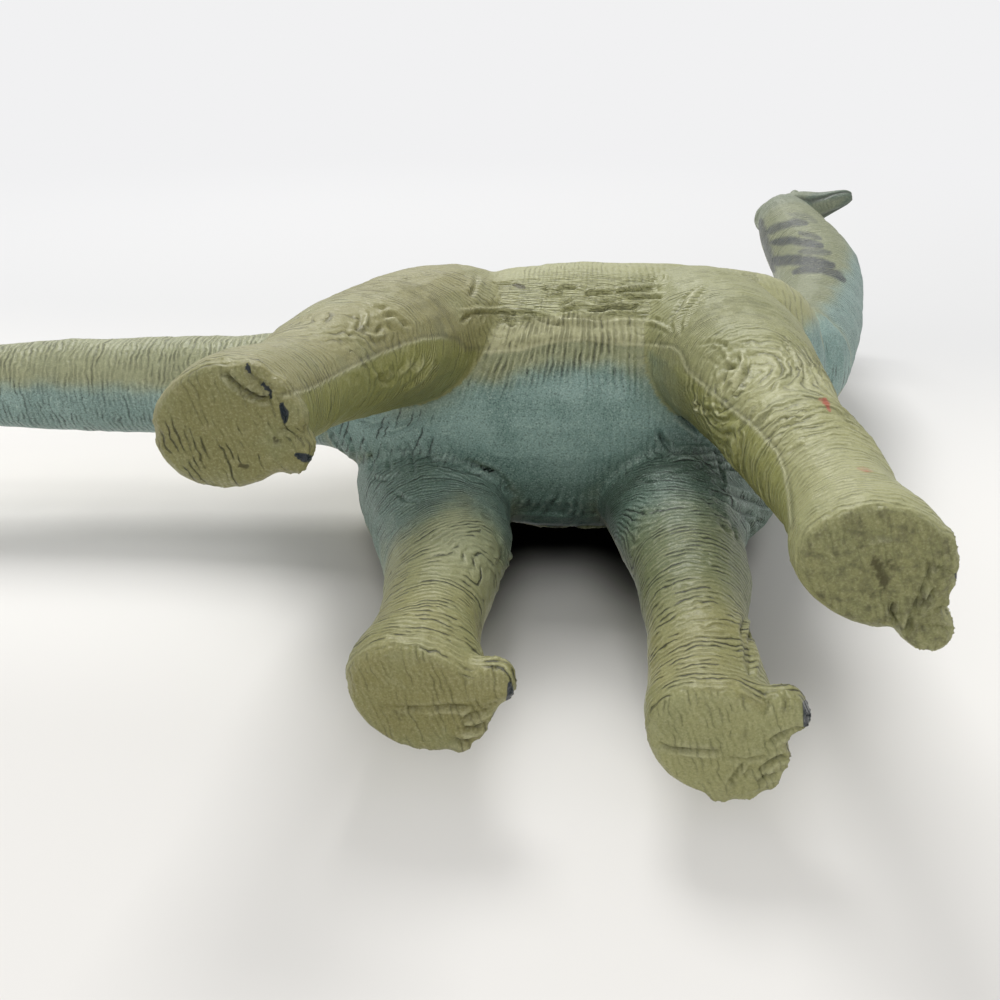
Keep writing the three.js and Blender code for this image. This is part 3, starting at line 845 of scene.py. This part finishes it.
paintValues = {
    "trunk": (44, 104),  # mm along the body between which the ribs show
    "edgeFit": (50, 104),  # the same for the line's height, which the side that isn't seen takes over
    "leftRise": 15,  # mm that the back's colour ends higher on the left flank
    "flankScale": 4,  # pixels per mm at the flank
    "fade": (6, 48),  # pixels below the line over which the belly's colour sets in
    "throat": (-14, 18),  # the same, past the line on the throat
    "throatTurn": (40, 0.35),  # pixels per share that a point lies to the front, and where the throat starts
    "throatTop": 190,  # mm above the ground from where the throat's colour narrows
    "legFade": (-14, 12),  # mm of height over which the belly's colour gives way on a leg
    "ribBand": (-30, -22),  # pixels below the line where the ribs' pale band begins
    "foldStretch": (44, 108),  # mm along the body between which the flank's fine folds lie
    "neckPitch": 9.5,  # mm from one stripe to the next
    "backPitch": 10.5,
    "seamBreak": (464, 10, 26),  # pixel where the mould's line is lost, and how far round it
    "nailSize": (2.6, 1.7),  # mm, of the first toe and of the others
}
toeTurns = {  # directions of the toes whose nails the photograph doesn't show, in degrees
    "right_front": (51, 32, 14, -3, -20),
    "left_front": (-29, 12, 35, 59, 83),
    "right_hind": (26, -10, -33, -59),
    "left_hind": (-13, 8, 28, 49),
}


def paintStrokes(strokes, allowed, share):
    amount = np.zeros(len(points))
    where = np.flatnonzero(seen & allowed)
    px, py = pixelX[where] + share * wobble[where, 0], pixelY[where] + share * wobble[where, 1]
    for half, strength, *line in strokes:
        best, fade = strokeField(px, py, line, half)
        reach = half * (0.55 + 0.6 * fade)
        amount[where] = np.maximum(amount[where], strength * fall(best, 0.3 * reach, 1.5 * reach))
    return amount


def loweredBy(values):
    # how far in pixels a point lies below the line where the back's colour ends
    lowered = sideOfLine(pixelX, pixelY, paintLine)
    edge = seen & onTrunk & (np.abs(lowered) < values["flankScale"])
    edgeHeight = np.polyval(np.polyfit(x[edge], z[edge], 2), np.clip(x, *values["edgeFit"]))
    edgeHeight += values["leftRise"] * rise(y, middleY, middleY + 8)
    lowered = np.where(seen, lowered, (edgeHeight - z) * values["flankScale"])
    tail = lowered * (1 - limbShare) - 5 * limbOffset[:, 2] * limbShare
    return np.where(onTail & ~seen, tail, lowered)


def bellyShare(values):
    # where the skin has the belly's colour
    throat = rise(throatGap + 5 * blur, *values["throat"])
    breast = (rise(normals[:, 0] + 0.25 * blur, 0.0, 0.5) * rise(x, 87, 95) * fall(z, 94, 108)
              * fall(middleY - y, 8, 18))
    breast = np.maximum(breast, throat * rise(x, 104, 112) * rise(y, middleY - 22, middleY - 10))
    breast = np.maximum(breast, 0.9 * rise(x, 92, 98) * rise(y, middleY - 8, middleY) * fall(z, 84, 98))
    share = np.maximum(rise(lowered + 6 * blur, *values["fade"]), breast) * (onTrunk | onLeftLegs)
    levels = {  # heights in mm where the belly's colour gives way to the leg's
        leftFront: 50,
        leftHind: 42 + 11 * rise(x, 50, 58),
        rightHind: 82,
        rightFront: 76,
    }
    onLegs = {}
    for name, level in levels.items():
        outer = 1 if name in leftLegs else -1
        inside = fall(normals[:, 1] * outer + 0.15 * blur, 0.0, 0.6)
        if name == leftFront:
            inside = np.maximum(inside, rise(normals[:, 0], 0.2, 0.8) * (x > 100))
        if name in rightLegs:
            inside = inside * np.where(seen, rise(below, 0, 6), 1)
        onLegs[name] = inside * rise(z + 3 * blur - level, *values["legFade"])
    limbs = perLimb({
        **onLegs,
        "tail": rise(lowered + 4 * blur, -12, 16),
        "neck": throat * rise(around[:, 0], -0.8, -0.4),
    })
    return share * (1 - limbShare) + limbs * limbShare


def stripeShare(values):
    # dark stripes cross the back of the neck, the spine and the tail
    ragged = 0.35 * latticeNoise(points / 3, 72) + 0.5 * latticeNoise(points / 9, 73)
    run = np.where(onNeck, limbRun / values["neckPitch"], x / values["backPitch"])
    run += 0.55 * latticeNoise(points / 16, 71)
    top = np.where(onNeck, -around[:, 0], np.where(onTail, around[:, 2], normals[:, 2]))
    drawn = np.sin(2 * math.pi * run) + ragged - 1.15 + 1.1 * rise(top, 0.2, 1.0)
    top = rise(top, 0.25, 0.55) * (onTrunk | onTail | (onNeck & (z > 128)))
    unseen = np.where(onTrunk, fall(facing, 0.1, 0.4) * fall(x, 106, 112), ~seen)
    return np.maximum.reduce([
        paintStrokes(neckStripes, onNeck, 0.5),
        0.9 * rise(drawn, 0.0, 0.3) * top * unseen,
        paintStrokes(backMarks, ownedBy("torso", "tail"), 1)])


def nailShare(values):
    share = paintStrokes(nailMarks, ownedBy(*legNodes) & (z < 16), 0.5)
    for mount in frame["record"]["mounts"]:
        foot = mount["name"].replace("_sole", "")
        onFoot = ownedBy(foot + "_leg")
        mine = np.flatnonzero(onFoot & (z < 9) & (z > 1))
        apart = points[mine] - np.array(mount["pos_m"]) / mm
        turn = np.degrees(np.arctan2(apart[:, 1], apart[:, 0]))
        for k, toe in enumerate(toeTurns[foot]):
            near = np.abs(turn - toe) < 9
            reach = np.hypot(apart[near, 0], apart[near, 1])
            tip = points[mine[near][reach.argmax()]] + (0, 0, 1.2)
            size = values["nailSize"][min(k, 1)]
            gap = np.linalg.norm(points - tip, axis=1)
            spot = fall(gap, 0.8 * size, size) * rise(normals[:, 2], -0.25, 0.05)
            share = np.maximum(share, spot * onFoot * ~seen)
    return share


x, y, z = points.T
around = unit(limbOffset + 1e-6)
blur = latticeNoise(points / 5, 61) + 0.4 * latticeNoise(points / 1.7, 62)
below = sideOfLine(pixelX, pixelY, partingLine)
throatScale, throatEnd = paintValues["throatTurn"]
hiddenThroat = throatScale * (around[:, 0] - throatEnd) - 2 * np.maximum(z - paintValues["throatTop"], 0)
throatGap = np.where(seen, sideOfLine(pixelX, pixelY, throatLine), hiddenThroat)
lowered = loweredBy(paintValues)
belly = bellyShare(paintValues)
ribStretch, foldStretch = (
    onTrunk * (x > low) * (x < high) for low, high in (paintValues["trunk"], paintValues["foldStretch"]))
under = rise(lowered, -1, 3) * ribStretch
ribStart = rise(lowered, *paintValues["ribBand"]) * ribStretch
ribbed = ribStart * fall(lowered, 22, 55)
ribBand = (1 - 0.8 * rise(y, middleY, middleY + 6)) * ribStart * fall(lowered, 0, 5)

# The insides of the right legs and the fine line where the mould was parted
rightShare = onRightLegs * limbShare
inside = np.where(seen, rise(below, -1.2, 1.2), rise(normals[:, 1], 0.0, 0.4))
inner = (perLimb({rightHind: 1, rightFront: fall(z, 60, 72)}) * rise(limbShare, 0.45, 0.95) * (1 - sole)
         * inside * rise(z, 4, 9))
breakPlace, *breakReach = paintValues["seamBreak"]
# the mould line gets a painted highlight on its ridge and a painted shadow just below it
seam = (bump(below, 1.5) * rightShare + 0.7 * bump(below, 1.3) * onTrunk) * seen
seam *= rise(np.abs(pixelX - breakPlace), *breakReach)
seamShade = bump(below + 3.6, 1.8) * seen * rightShare

# How strong the regular ridges and the short dark wrinkles are; the ridges' crests take painted highlight,
# and their troughs and the wrinkles painted shade
legFoot = 1 - 0.45 * perLimb({rightFront: fall(z, 16, 42)}) * limbShare
calm = perLimb({rightFront: rise(z, 58, 68)}) * limbShare
panelEdge = panel * np.maximum(ribbed, rise(y, 13, 18))
flankFold = rise(-lowered, 22, 30) * fall(-lowered, 60, 80) * foldStretch
groin = onTrunk * rise(lowered, 20, 50) * np.maximum(fall(x, 46, 56), rise(x, 92, 100))
ridges = perLimb({rightFront: 0.9, rightHind: 0.4, "tail": 0.75, "neck": 0.5, "head": 0.15}, 0.6)
ridges = ridges * limbShare + (1 - limbShare) * np.where(
    panel > 0, 0.12 + 0.88 * panelEdge, 0.15 + 1.05 * ribbed)
ridges *= (1 - 0.6 * sole) * (1 - 0.7 * calm) * (1 - 0.8 * knot) * legFoot
dashes = perLimb({rightFront: 0.4, rightHind: 0.55, "tail": 0.4, "neck": 0.35, "head": 0.1}, 1.0)
dashes = dashes * limbShare + (1 - limbShare) * np.where(
    panel > 0, 0.1 + 0.4 * panelEdge, 0.35 + 0.65 * groin)
dashes *= 1 - 0.65 * flankFold * (1 - limbShare)
soleCreases = 0.28 + perLimb({rightHind: 0.6 * rise(pixelY, 408, 432)})
dashes = (dashes * (1 - sole) + soleCreases * sole) * (1 - 0.6 * knot) * legFoot

# Warmer, darker and paler stretches of the paint, and painted shade on the left side, which lies against the
# table, and towards the roots of the legs
leftWarm = 0.75 - 0.65 * rise(z, 14, 44)
warm = perLimb({rightHind: 1.0, "tail": 0.1, leftFront: leftWarm, leftHind: leftWarm}, 0.3)
warm = warm * limbShare + 0.2 * (1 - limbShare) + sole * perLimb({leftFront: -0.35}, 0.25)
# painted shade: the belly's colour darkens on the left flank and the left legs, which lie against the table
deep = rise(y, middleY, middleY + 13) * (1 - 0.6 * rise(x, 92, 100)) * onTrunk + limbShare * onLeftLegs
# multiply darkening: painted shade on the left legs, which lie against the table, and towards the roots of
# the legs; on the neck, the head and the right soles a darker tone
wash = limbShare * perLimb({
    leftFront: rise(z, 12, 34),
    rightFront: 0.35 * rise(z, 50, 66),
    leftHind: 0.35 * rise(z, 36, 54),
    "neck": 0.5 * (1 - belly),
    "head": 0.4,
})
leftGrey = 0.45 * rise(z, 15, 40)
greyed = limbShare * perLimb({
    leftFront: leftGrey,
    leftHind: leftGrey,
    "tail": 0.45,
    "neck": 0.55 + 0.45 * rise(z, 222, 236),
    "head": 1.0,
})
hiddenHead = ~seen * onHead * (0.8 * rise(normals[:, 2], 0.2, 0.7) + 0.5 * rise(along, 14, 20))
dirt = paintStrokes(dirtMarks, ownedBy(*legNodes, "torso"), 2)
fields = dict(
    limbRun=limbRun, trunkRun=trunkRun, soleRun=soleRun, limbShare=limbShare, sole=sole, belly=belly,
    inner=inner, under=under, ribBand=ribBand, seam=seam, seamShade=seamShade, ridges=ridges, dashes=dashes,
    folded=flankFold, greyed=greyed,
    deep=np.clip(deep, 0, 1),
    warm=np.clip(warm, 0, 1),
    wash=np.maximum(wash, 0.3 * sole * onRightLegs),
    # painted shade in the drawn grooves and painted highlight on the raised folds
    groove=np.clip(-(cut + 0.3) / 0.7, 0, 1),
    lip=np.clip((cut - 0.1) / 0.45, 0, 1),
    stripe=stripeShare(paintValues),
    nail=nailShare(paintValues),
    dirt=np.maximum(dirt, sole * perLimb({rightFront: 0.36}, 0.08)),
    rub=paintStrokes(rubMarks, ownedBy(rightFront), 2),
    headDark=np.maximum(paintStrokes(headMarks, onHead, 0.3), hiddenHead),
    eye=fall(eyeGap, 0.9, 1.25),
    mouth=np.maximum(0.8 * fall(mouthGap, 0.2, 0.8), fall(nostrilGap, 0.4, 0.9)))
print("paint masks made")


# Nodes for the materials

class Signal:  # a node's output, with the arithmetic that the materials use
    def __init__(self, bench, socket):
        self.bench = bench
        self.socket = socket

    def __add__(self, other):
        return self.bench.maths("ADD", self, other)

    def __sub__(self, other):
        return self.bench.maths("SUBTRACT", self, other)

    def __rsub__(self, other):
        return self.bench.maths("SUBTRACT", other, self)

    def __mul__(self, other):
        return self.bench.maths("MULTIPLY", self, other)

    __radd__ = __add__
    __rmul__ = __mul__


class Bench:  # builds one node tree
    def __init__(self, tree):
        self.tree = tree
        tree.nodes.clear()

    def node(self, kind, settings=None, inputs=None, output=0):
        made = self.tree.nodes.new(kind)
        for key, value in (settings or {}).items():
            setattr(made, key, value)
        for key, value in (inputs or {}).items():
            if isinstance(value, Signal):
                self.tree.links.new(value.socket, made.inputs[key])
            else:
                made.inputs[key].default_value = value
        return Signal(self, made.outputs[output]) if made.outputs else None

    def maths(self, operation, *values):
        return self.node("ShaderNodeMath", {"operation": operation}, dict(enumerate(values)))

    def mix(self, share, first, second, blend="MIX"):
        return self.node(
            "ShaderNodeMix", {"data_type": "RGBA", "blend_type": blend}, {0: share, 6: first, 7: second}, 2)

    def between(self, value, low, high):
        return self.node("ShaderNodeMapRange", {"interpolation_type": "SMOOTHSTEP"},
                         {"Value": value, "From Min": low, "From Max": high})

    def mask(self, name):
        return self.node("ShaderNodeAttribute", {"attribute_name": name}, output=2)

    def place(self):
        return self.node("ShaderNodeTexCoord", output=3)

    def ray(self, kind):
        return self.node("ShaderNodeLightPath", output=kind)

    def either(self, first, *others):
        for other in others:
            first = self.maths("MAXIMUM", first, other)
        return first

    def shaders(self, share, first, second):
        return self.node("ShaderNodeMixShader", {}, {0: share, 1: first, 2: second})


def colour(text):
    # a colour as it looks, such as a4a583, in the linear values that the sockets take
    parts = [int(text[k:k + 2], 16) / 255 for k in (0, 2, 4)]
    return tuple(v / 12.92 if v <= 0.04045 else ((v + 0.055) / 1.055) ** 2.4 for v in parts) + (1,)


skinPaint = {
    "olive": "97986a",
    "oliveWarm": "7f7b4c",
    "oliveInner": "838448",
    "patch": "82845a",
    "under": "7c8160",
    "belly": "7a958e",
    "bellyDeep": "638079",
    # painted shade colour for the belly's blue on the left side
    "bellyLow": "4b665b",
    # multiply colour for painted shade and a darker tone
    "wash": "b9c3b4",
    "headDark": "46584c",
    "eye": "15130f",
    "grey": "7b8f88",
    "greyOlive": "7c836f",
    # painted highlight colour on the belly's blue
    "lightBelly": "a3b5ab",
    "band": "b1af8a",
    # painted highlight colour
    "light": "bcbb97",
    "stripe": "252f34",
    "nail": "1e262c",
    "dirt": "3c371c",
    "rub": "a04c3b",
    "shade": "2e322a",
    "roughness": 0.44,
    "limbPitch": 1.15,  # mm from one fine ridge to the next
    "trunkPitch": 1.35,
    "solePitch": 1.0,
    "grain": 0.32,
}


def makeSkinMaterial(values):
    material = bpy.data.materials.new("painted_skin")
    material.use_nodes = True
    bench = Bench(material.node_tree)
    mask, between, place = bench.mask, bench.between, bench.place()

    def scaled(size):
        # the place in steps of so many mm, alike in all directions or per axis
        sizes = size if isinstance(size, tuple) else (size,) * 3
        return bench.node("ShaderNodeVectorMath", {"operation": "MULTIPLY"},
                          {0: place, 1: tuple(1 / (one * mm) for one in sizes)})

    def noise(size, detail=2.0, rough=0.5):
        return bench.node("ShaderNodeTexNoise", {}, {
            "Vector": scaled(size), "Scale": 1.0, "Detail": detail, "Roughness": rough})

    def streaks(phase, pitch, run):
        return bench.node("ShaderNodeTexNoise", {"noise_dimensions": "4D"}, {
            "Vector": scaled(run), "W": phase * (1 / pitch), "Scale": 1.0, "Detail": 1.0, "Roughness": 0.35})

    def layers(phase, pitch, bend):
        # even ridges, and the creases that run along them
        ridge = bench.maths("SINE", phase * (2 * math.pi / pitch) + warp * bend)
        valley = between(ridge * -1.0, 0.45, 0.95)
        return ridge, valley * between(streaks(phase, pitch * 1.6, 6.0), 0.49, 0.56)

    def chosen(limb, trunk, foot):
        return foot * onSole + (limb * onLimb + trunk * (1 - onLimb)) * (1 - onSole)

    def painted(skin, share, name, blend="MIX"):
        return bench.mix(share, skin, colour(values[name]), blend)

    onLimb, onSole = mask("limbShare"), mask("sole")
    warp = (noise(5.0) - 0.5) * 14 + (noise(1.6) - 0.5) * 5
    limb = layers(mask("limbRun"), values["limbPitch"], 1.0)
    trunk = layers(mask("trunkRun"), values["trunkPitch"], 0.5)
    foot = layers(mask("soleRun"), values["solePitch"], 1.1)
    wave = chosen(limb[0], trunk[0], foot[0]) * (0.3 + between(noise(2.2), 0.36, 0.62) * 0.7)
    crease = chosen(limb[1], trunk[1], foot[1]) * between(noise(3.4), 0.36, 0.5)
    ridges, creases, folded = mask("ridges"), crease * mask("dashes"), mask("folded")
    fold = bench.maths("ABSOLUTE", noise((7.0, 1.0, 1.0), 2.0, 0.6) - 0.5)
    foldCut = (1 - between(fold, 0.0, 0.05)) * folded
    grain = noise(values["grain"], 2.0, 0.6)
    blotch = noise(9.0, 3.0, 0.55)
    speck = noise(1.4, 3.0, 0.65)

    # The paint's colours, from the ground coat up, with painted shade on the left side and towards the leg
    # roots
    skin = painted(colour(values["olive"]), mask("warm"), "oliveWarm")
    skin = painted(skin, between(blotch, 0.45, 0.7) * 0.5, "patch")
    skin = painted(skin, mask("greyed"), "greyOlive")
    skin = painted(skin, mask("ribBand") * 0.6, "band")
    skin = painted(skin, mask("under") * 0.85, "under")
    skin = painted(skin, mask("inner") * 0.9, "oliveInner")
    bellyMix = painted(colour(values["belly"]), between(blotch, 0.38, 0.68), "bellyDeep")
    # painted shade: a darker blue on the left side, which lies against the table
    bellyMix = painted(bellyMix, mask("deep") * 0.85, "bellyLow")
    bellyMix = painted(bellyMix, mask("greyed"), "grey")
    skin = bench.mix(between(mask("belly") + (speck - 0.5) * 0.3, 0.0, 1.0), skin, bellyMix)
    skin = painted(skin, between(mask("stripe") + (speck - 0.5) * 0.5, 0.15, 0.95) * 0.96, "stripe")
    # multiply darkening: painted shade on the left legs and towards the leg roots, darker on the neck, the
    # head and the right soles
    skin = painted(skin, mask("wash"), "wash", "MULTIPLY")
    skin = painted(skin, mask("headDark"), "headDark")
    # painted highlight along the mould line
    skin = painted(skin, mask("seam") * 0.6, "light")

    # Painted highlight on the crests and raised folds, painted shade in the troughs, creases and grooves, and
    # random grain
    grainShare = 0.22 + mask("belly") * 0.4
    crest = between(wave, 0.1, 0.9) * ridges
    sunk = between(wave * -1.0, 0.1, 0.9) * ridges
    highlightAndGrain = (crest * 0.3 + mask("lip") * 0.4 + between(grain, 0.5, 0.75) * grainShare
               + between(speck, 0.52, 0.75) * 0.15)
    skin = bench.mix(highlightAndGrain, skin, painted(colour(values["light"]), mask("belly"), "lightBelly"))
    # painted shade in the troughs, the creases, the grooves and the flank's fold lines, with random darker
    # grain
    dark = (sunk * 0.25 + creases * 0.66 + mask("groove") * 0.5 + foldCut * 0.35 + mask("seamShade") * 0.3
            + between(0.5 - grain, 0.0, 0.25) * grainShare)
    skin = painted(skin, bench.maths("MINIMUM", dark, 0.92), "shade", "MULTIPLY")
    skin = painted(skin, between(mask("dirt") + (speck - 0.5) * 1.1, 0.25, 0.7) * 0.8, "dirt")
    skin = painted(skin, between(mask("rub") + (speck - 0.5) * 1.0, 0.35, 0.9) * 0.85, "rub")
    skin = painted(skin, between(mask("nail"), 0.35, 0.65), "nail")
    # painted shade in the cut of the mouth and in the nostrils
    skin = painted(skin, mask("mouth") * 0.8, "shade")
    skin = painted(skin, mask("eye"), "eye")

    height = (wave * ridges * 0.18 - creases * 0.2 + (fold - 0.1) * folded * 2.0
              + grain * 0.05 + speck * 0.14 + mask("seam") * 0.12)
    shader = bench.node("ShaderNodeBsdfPrincipled", {}, {
        "Base Color": skin,
        "Roughness": values["roughness"] + speck * 0.12 - (mask("nail") + mask("eye")) * 0.25,
        "Normal": bench.node("ShaderNodeBump", {}, {"Strength": 1.0, "Distance": mm, "Height": height})})
    bench.node("ShaderNodeOutputMaterial", {}, {"Surface": shader})
    return material


skinMaterial = makeSkinMaterial(skinPaint)
print("material made")


# Part the skin into the pieces again and close each one at its joins

plugDepth = 1.5  # mm that a closed join goes in below the skin


def openRows(faces):
    # closed rows of points round the holes of a surface
    starts = faces.ravel()
    ends = np.roll(faces, -1, axis=1).ravel()
    count = starts.max() + 1
    rim = ~np.isin(starts * count + ends, ends * count + starts)
    following = dict(zip(ends[rim].tolist(), starts[rim].tolist()))
    rows = []
    while following:
        first, here = following.popitem()
        row = [first]
        while here != first and here in following:
            row.append(here)
            here = following.pop(here)
        rows.append(row)
    return rows


def makePiece(name):
    quadOwner = np.sort(owner[quads], axis=1)[:, 1]
    used, local = np.unique(quads[quadOwner == nodeNames.index(name)], return_inverse=True)
    faces = local.reshape(-1, 4)
    stacks, walls, caps, source = [points[used]], [], [], [used]
    count = len(used)
    for row in openRows(faces):
        inside = points[used[row]] - plugDepth * normals[used[row]]
        stacks += [inside, inside.mean(axis=0)[None]]
        source += [used[row], used[row[:1]]]
        size = len(row)
        for k in range(size):
            after = (k + 1) % size
            walls.append((row[k], row[after], count + after, count + k))
            caps.append((count + k, count + after, count + size))
        count += size + 1
    source = np.concatenate(source)
    mesh = makeMesh(name, np.vstack(stacks) * mm, faces, np.array(walls), np.array(caps))
    mesh.polygons.foreach_set("use_smooth", np.ones(len(mesh.polygons), bool))
    mesh.normals_split_custom_set_from_vertices(normals[source].tolist())
    for fieldName, values in fields.items():
        field = mesh.attributes.new(fieldName, "FLOAT", "POINT")
        field.data.foreach_set("value", values[source].astype(np.float32))
    mesh.materials.append(skinMaterial)
    piece = addObject(name + "_skin", mesh)
    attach(piece, "root")
    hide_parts(name)
    return len(faces)


for name in nodeNames:
    print("piece:", name, makePiece(name), "faces")


# Table, background and light

stageValues = {
    "reach": 3.0,  # metres
    "drop": 0.0002,  # metres that the ground lies below the soles
    "gap": 0.3,  # mm between the figure and the table
    "margins": (-15, 25, -25, 15),  # mm of small squares past the figure along the table and up it
    # painted light and shade: the table's tone goes from the paler near colour to the darker paper colour
    # along the table
    "near": "e2e0dd",
    "paper": "cdcdcd",
    "toneReach": (0.09, 0.27),  # metres along the table
    "beyond": "f4f4f4",
    "beyondFrom": 0.032,  # metres to the left where the ground is paler, painted light for the light that the table throws on the near side
    "backdrop": "f1f1f2",
    "middle": (0.05, 0, 0.06),
    "far": (0.25, 0.7),  # metres from the middle over which the paper fades to the backdrop
    "front": "e0deda",  # painted light: the table in front of the soles glows towards this colour
    "frontReach": (-0.045, -0.005),
    "frontShare": 0.4,
    # painted shadow on the table: a near-black core close to the figure and a grey halo round it
    "contact": "060606",
    "halo": 0.3,
    "haloReach": (0.03, 0.3),
    "core": (0.42, 0.8),
    "contactStep": 2.0,  # mm between the places where the table's contact shade is measured
    "contactReach": 60,
    "contactRays": 40,
    "contactFront": (0, 48),  # mm of height over which light comes in under the soles
    "ambient": 0.8,
    "ambientBelow": 0.15,
    "aim": (0.06, 0, 0.06),
    "lamps": {  # direction, metres away, watts and metres across
        "key": ((-0.2, -0.8, 0.55), 1.4, 12.5, 0.55),
        "fill": ((0.1, -0.5, -0.85), 0.8, 1.3, 0.44),
        "leftFill": ((-0.2, 0.62, 1.0), 0.8, 5.5, 0.44),
    },
}


def makeStageMaterial(name, values):
    material = bpy.data.materials.new(name)
    material.use_nodes = True
    bench = Bench(material.node_tree)
    onGround = name == "ground_paper"

    def axis(k):
        return bench.node("ShaderNodeSeparateXYZ", {}, {0: bench.place()}, k)

    def glow(key):
        return bench.node("ShaderNodeEmission", {}, {"Color": colour(values[key]), "Strength": 1.0})

    passing = [bench.node("ShaderNodeNewGeometry", output=6), bench.ray("Is Shadow Ray")]
    if onGround:
        passing.append(bench.ray("Is Diffuse Ray"))
    # painted light and shade: paler near the front of the table, darker further along
    tone = bench.mix(
        bench.between(axis(2), *values["toneReach"]), colour(values["near"]), colour(values["paper"]))
    # painted shadow: the table's tone darkens where the figure keeps light off it
    for share in (bench.between(bench.mask("contact"), *values["haloReach"]) * values["halo"],
                  bench.between(bench.mask("contact"), *values["core"])):
        tone = bench.mix(share, tone, colour(values["contact"]))
    if onGround:
        # painted light: the ground past the table is paler, in place of the light that the table throws on
        # its near side
        left = bench.maths("GREATER_THAN", axis(1), values["beyondFrom"])
        tone = bench.mix(left, tone, colour(values["beyond"]))
    paper = bench.node("ShaderNodeBsdfPrincipled", {}, {
        "Base Color": tone, "Roughness": 1.0, "Specular IOR Level": 0.0})
    # painted light: in front of the soles the table glows, which lifts the shadow there
    front = bench.between(axis(2) * -1.0, *values["frontReach"]) * values["frontShare"]
    paper = bench.shaders(front * bench.ray("Is Camera Ray"), paper, glow("front"))
    away = bench.node(
        "ShaderNodeVectorMath", {"operation": "DISTANCE"}, {0: bench.place(), 1: values["middle"]}, 1)
    far = bench.between(away, *values["far"]) * bench.ray("Is Camera Ray")
    shown = bench.shaders(far, paper, glow("backdrop"))
    surface = bench.shaders(bench.either(*passing), shown, bench.node("ShaderNodeBsdfTransparent"))
    bench.node("ShaderNodeOutputMaterial", {}, {"Surface": surface})
    return material


def contactShade(places, values):
    # the share of the light from straight above the table that the figure keeps off, near its surface
    tree, _ = treeOf(nodeNames)
    count = values["contactRays"]
    rays = []
    for k in range(count):
        height = math.sqrt(1 - (k + 0.5) / count)
        turn = k * math.pi * (3 - math.sqrt(5))
        flat = math.sqrt(1 - height ** 2)
        rays.append(Vector((flat * math.cos(turn), -height, flat * math.sin(turn))))
    shade = np.zeros(len(places))
    for k, place in enumerate(places.tolist()):
        start = Vector(place)
        for ray in rays:
            gap = tree.ray_cast(start, ray, values["contactReach"])[3]
            if gap is not None:
                shade[k] += 1 - gap / values["contactReach"]
    return shade / count


def softened(grid, times):
    for _ in range(times):
        wide = np.pad(grid, 1, mode="edge")
        grid = (wide[1:-1, 1:-1] + wide[:-2, 1:-1] + wide[2:, 1:-1] + wide[1:-1, :-2] + wide[1:-1, 2:]) / 5
    return grid


def makeTable(values):
    # a sheet that the figure lies on, with its middle in small squares
    reach, step = values["reach"] / mm, values["contactStep"]
    back, ahead, foot, top = values["margins"]
    xs = np.concatenate([[-reach], np.arange(cadLow.x / mm + back, cadHigh.x / mm + ahead, step), [reach]])
    zs = np.concatenate([[-reach], np.arange(foot, cadHigh.z / mm + top, step), [reach]])
    gridX, gridZ = np.meshgrid(xs, zs)
    side = np.full(gridX.size, cadHigh.y / mm + values["gap"])
    places = np.column_stack([gridX.ravel(), side, gridZ.ravel()])
    corner = (np.arange(len(zs) - 1)[:, None] * len(xs) + np.arange(len(xs) - 1)).ravel()
    squares = np.column_stack([corner, corner + 1, corner + len(xs) + 1, corner + len(xs)])
    mesh = makeMesh("table", places * mm, squares)
    # the painted shadow's strength at each corner of the table's squares
    shade = softened(contactShade(places, values).reshape(gridX.shape), 3).ravel()
    shade *= 0.15 + 0.85 * rise(places[:, 2], *values["contactFront"])
    mesh.attributes.new("contact", "FLOAT", "POINT").data.foreach_set("value", shade.astype(np.float32))
    return mesh


def makeGround(values):
    reach, drop = values["reach"], values["drop"]
    corners = [(reach * way, reach * side, -drop) for way, side in ((-1, -1), (1, -1), (1, 1), (-1, 1))]
    return makeMesh("ground", np.array(corners), np.array([(0, 1, 2, 3)]))


def makeWorld(values):
    world = bpy.data.worlds.new("studio")
    bpy.context.scene.world = world
    world.use_nodes = True
    bench = Bench(world.node_tree)

    def light(shade, strength):
        return bench.node("ShaderNodeBackground", {}, {"Color": colour(shade), "Strength": strength})

    shown = bench.either(*[bench.ray("Is " + kind + " Ray") for kind in ("Camera", "Glossy", "Transmission")])
    way = bench.node("ShaderNodeSeparateXYZ", {}, {0: bench.node("ShaderNodeTexCoord", output=0)}, 1)
    bright = light("ffffff", values["ambient"])
    dim = light("ffffff", values["ambient"] * values["ambientBelow"])
    sky = bench.shaders(bench.between(way, -0.5, 0.35), bright, dim)  # dimmer from the table's side
    bench.node("ShaderNodeOutputWorld", {}, {
        "Surface": bench.shaders(shown, sky, light(values["backdrop"], 1.0))})


def makeLamps(values):
    for name, (direction, distance, power, size) in values["lamps"].items():
        lamp = addObject(name, bpy.data.lights.new(name, "AREA"))
        lamp.data.size = size
        lamp.data.energy = power
        away = Vector(direction).normalized()
        lamp.location = Vector(values["aim"]) + away * distance
        lamp.rotation_euler = away.to_track_quat("Z", "Y").to_euler()


for name, mesh in (("table", makeTable(stageValues)), ("ground", makeGround(stageValues))):
    mesh.materials.append(makeStageMaterial(name + "_paper", stageValues))
    addObject(name, mesh)
makeWorld(stageValues)
makeLamps(stageValues)
bpy.context.scene.view_settings.view_transform = "Standard"
print("stage made")
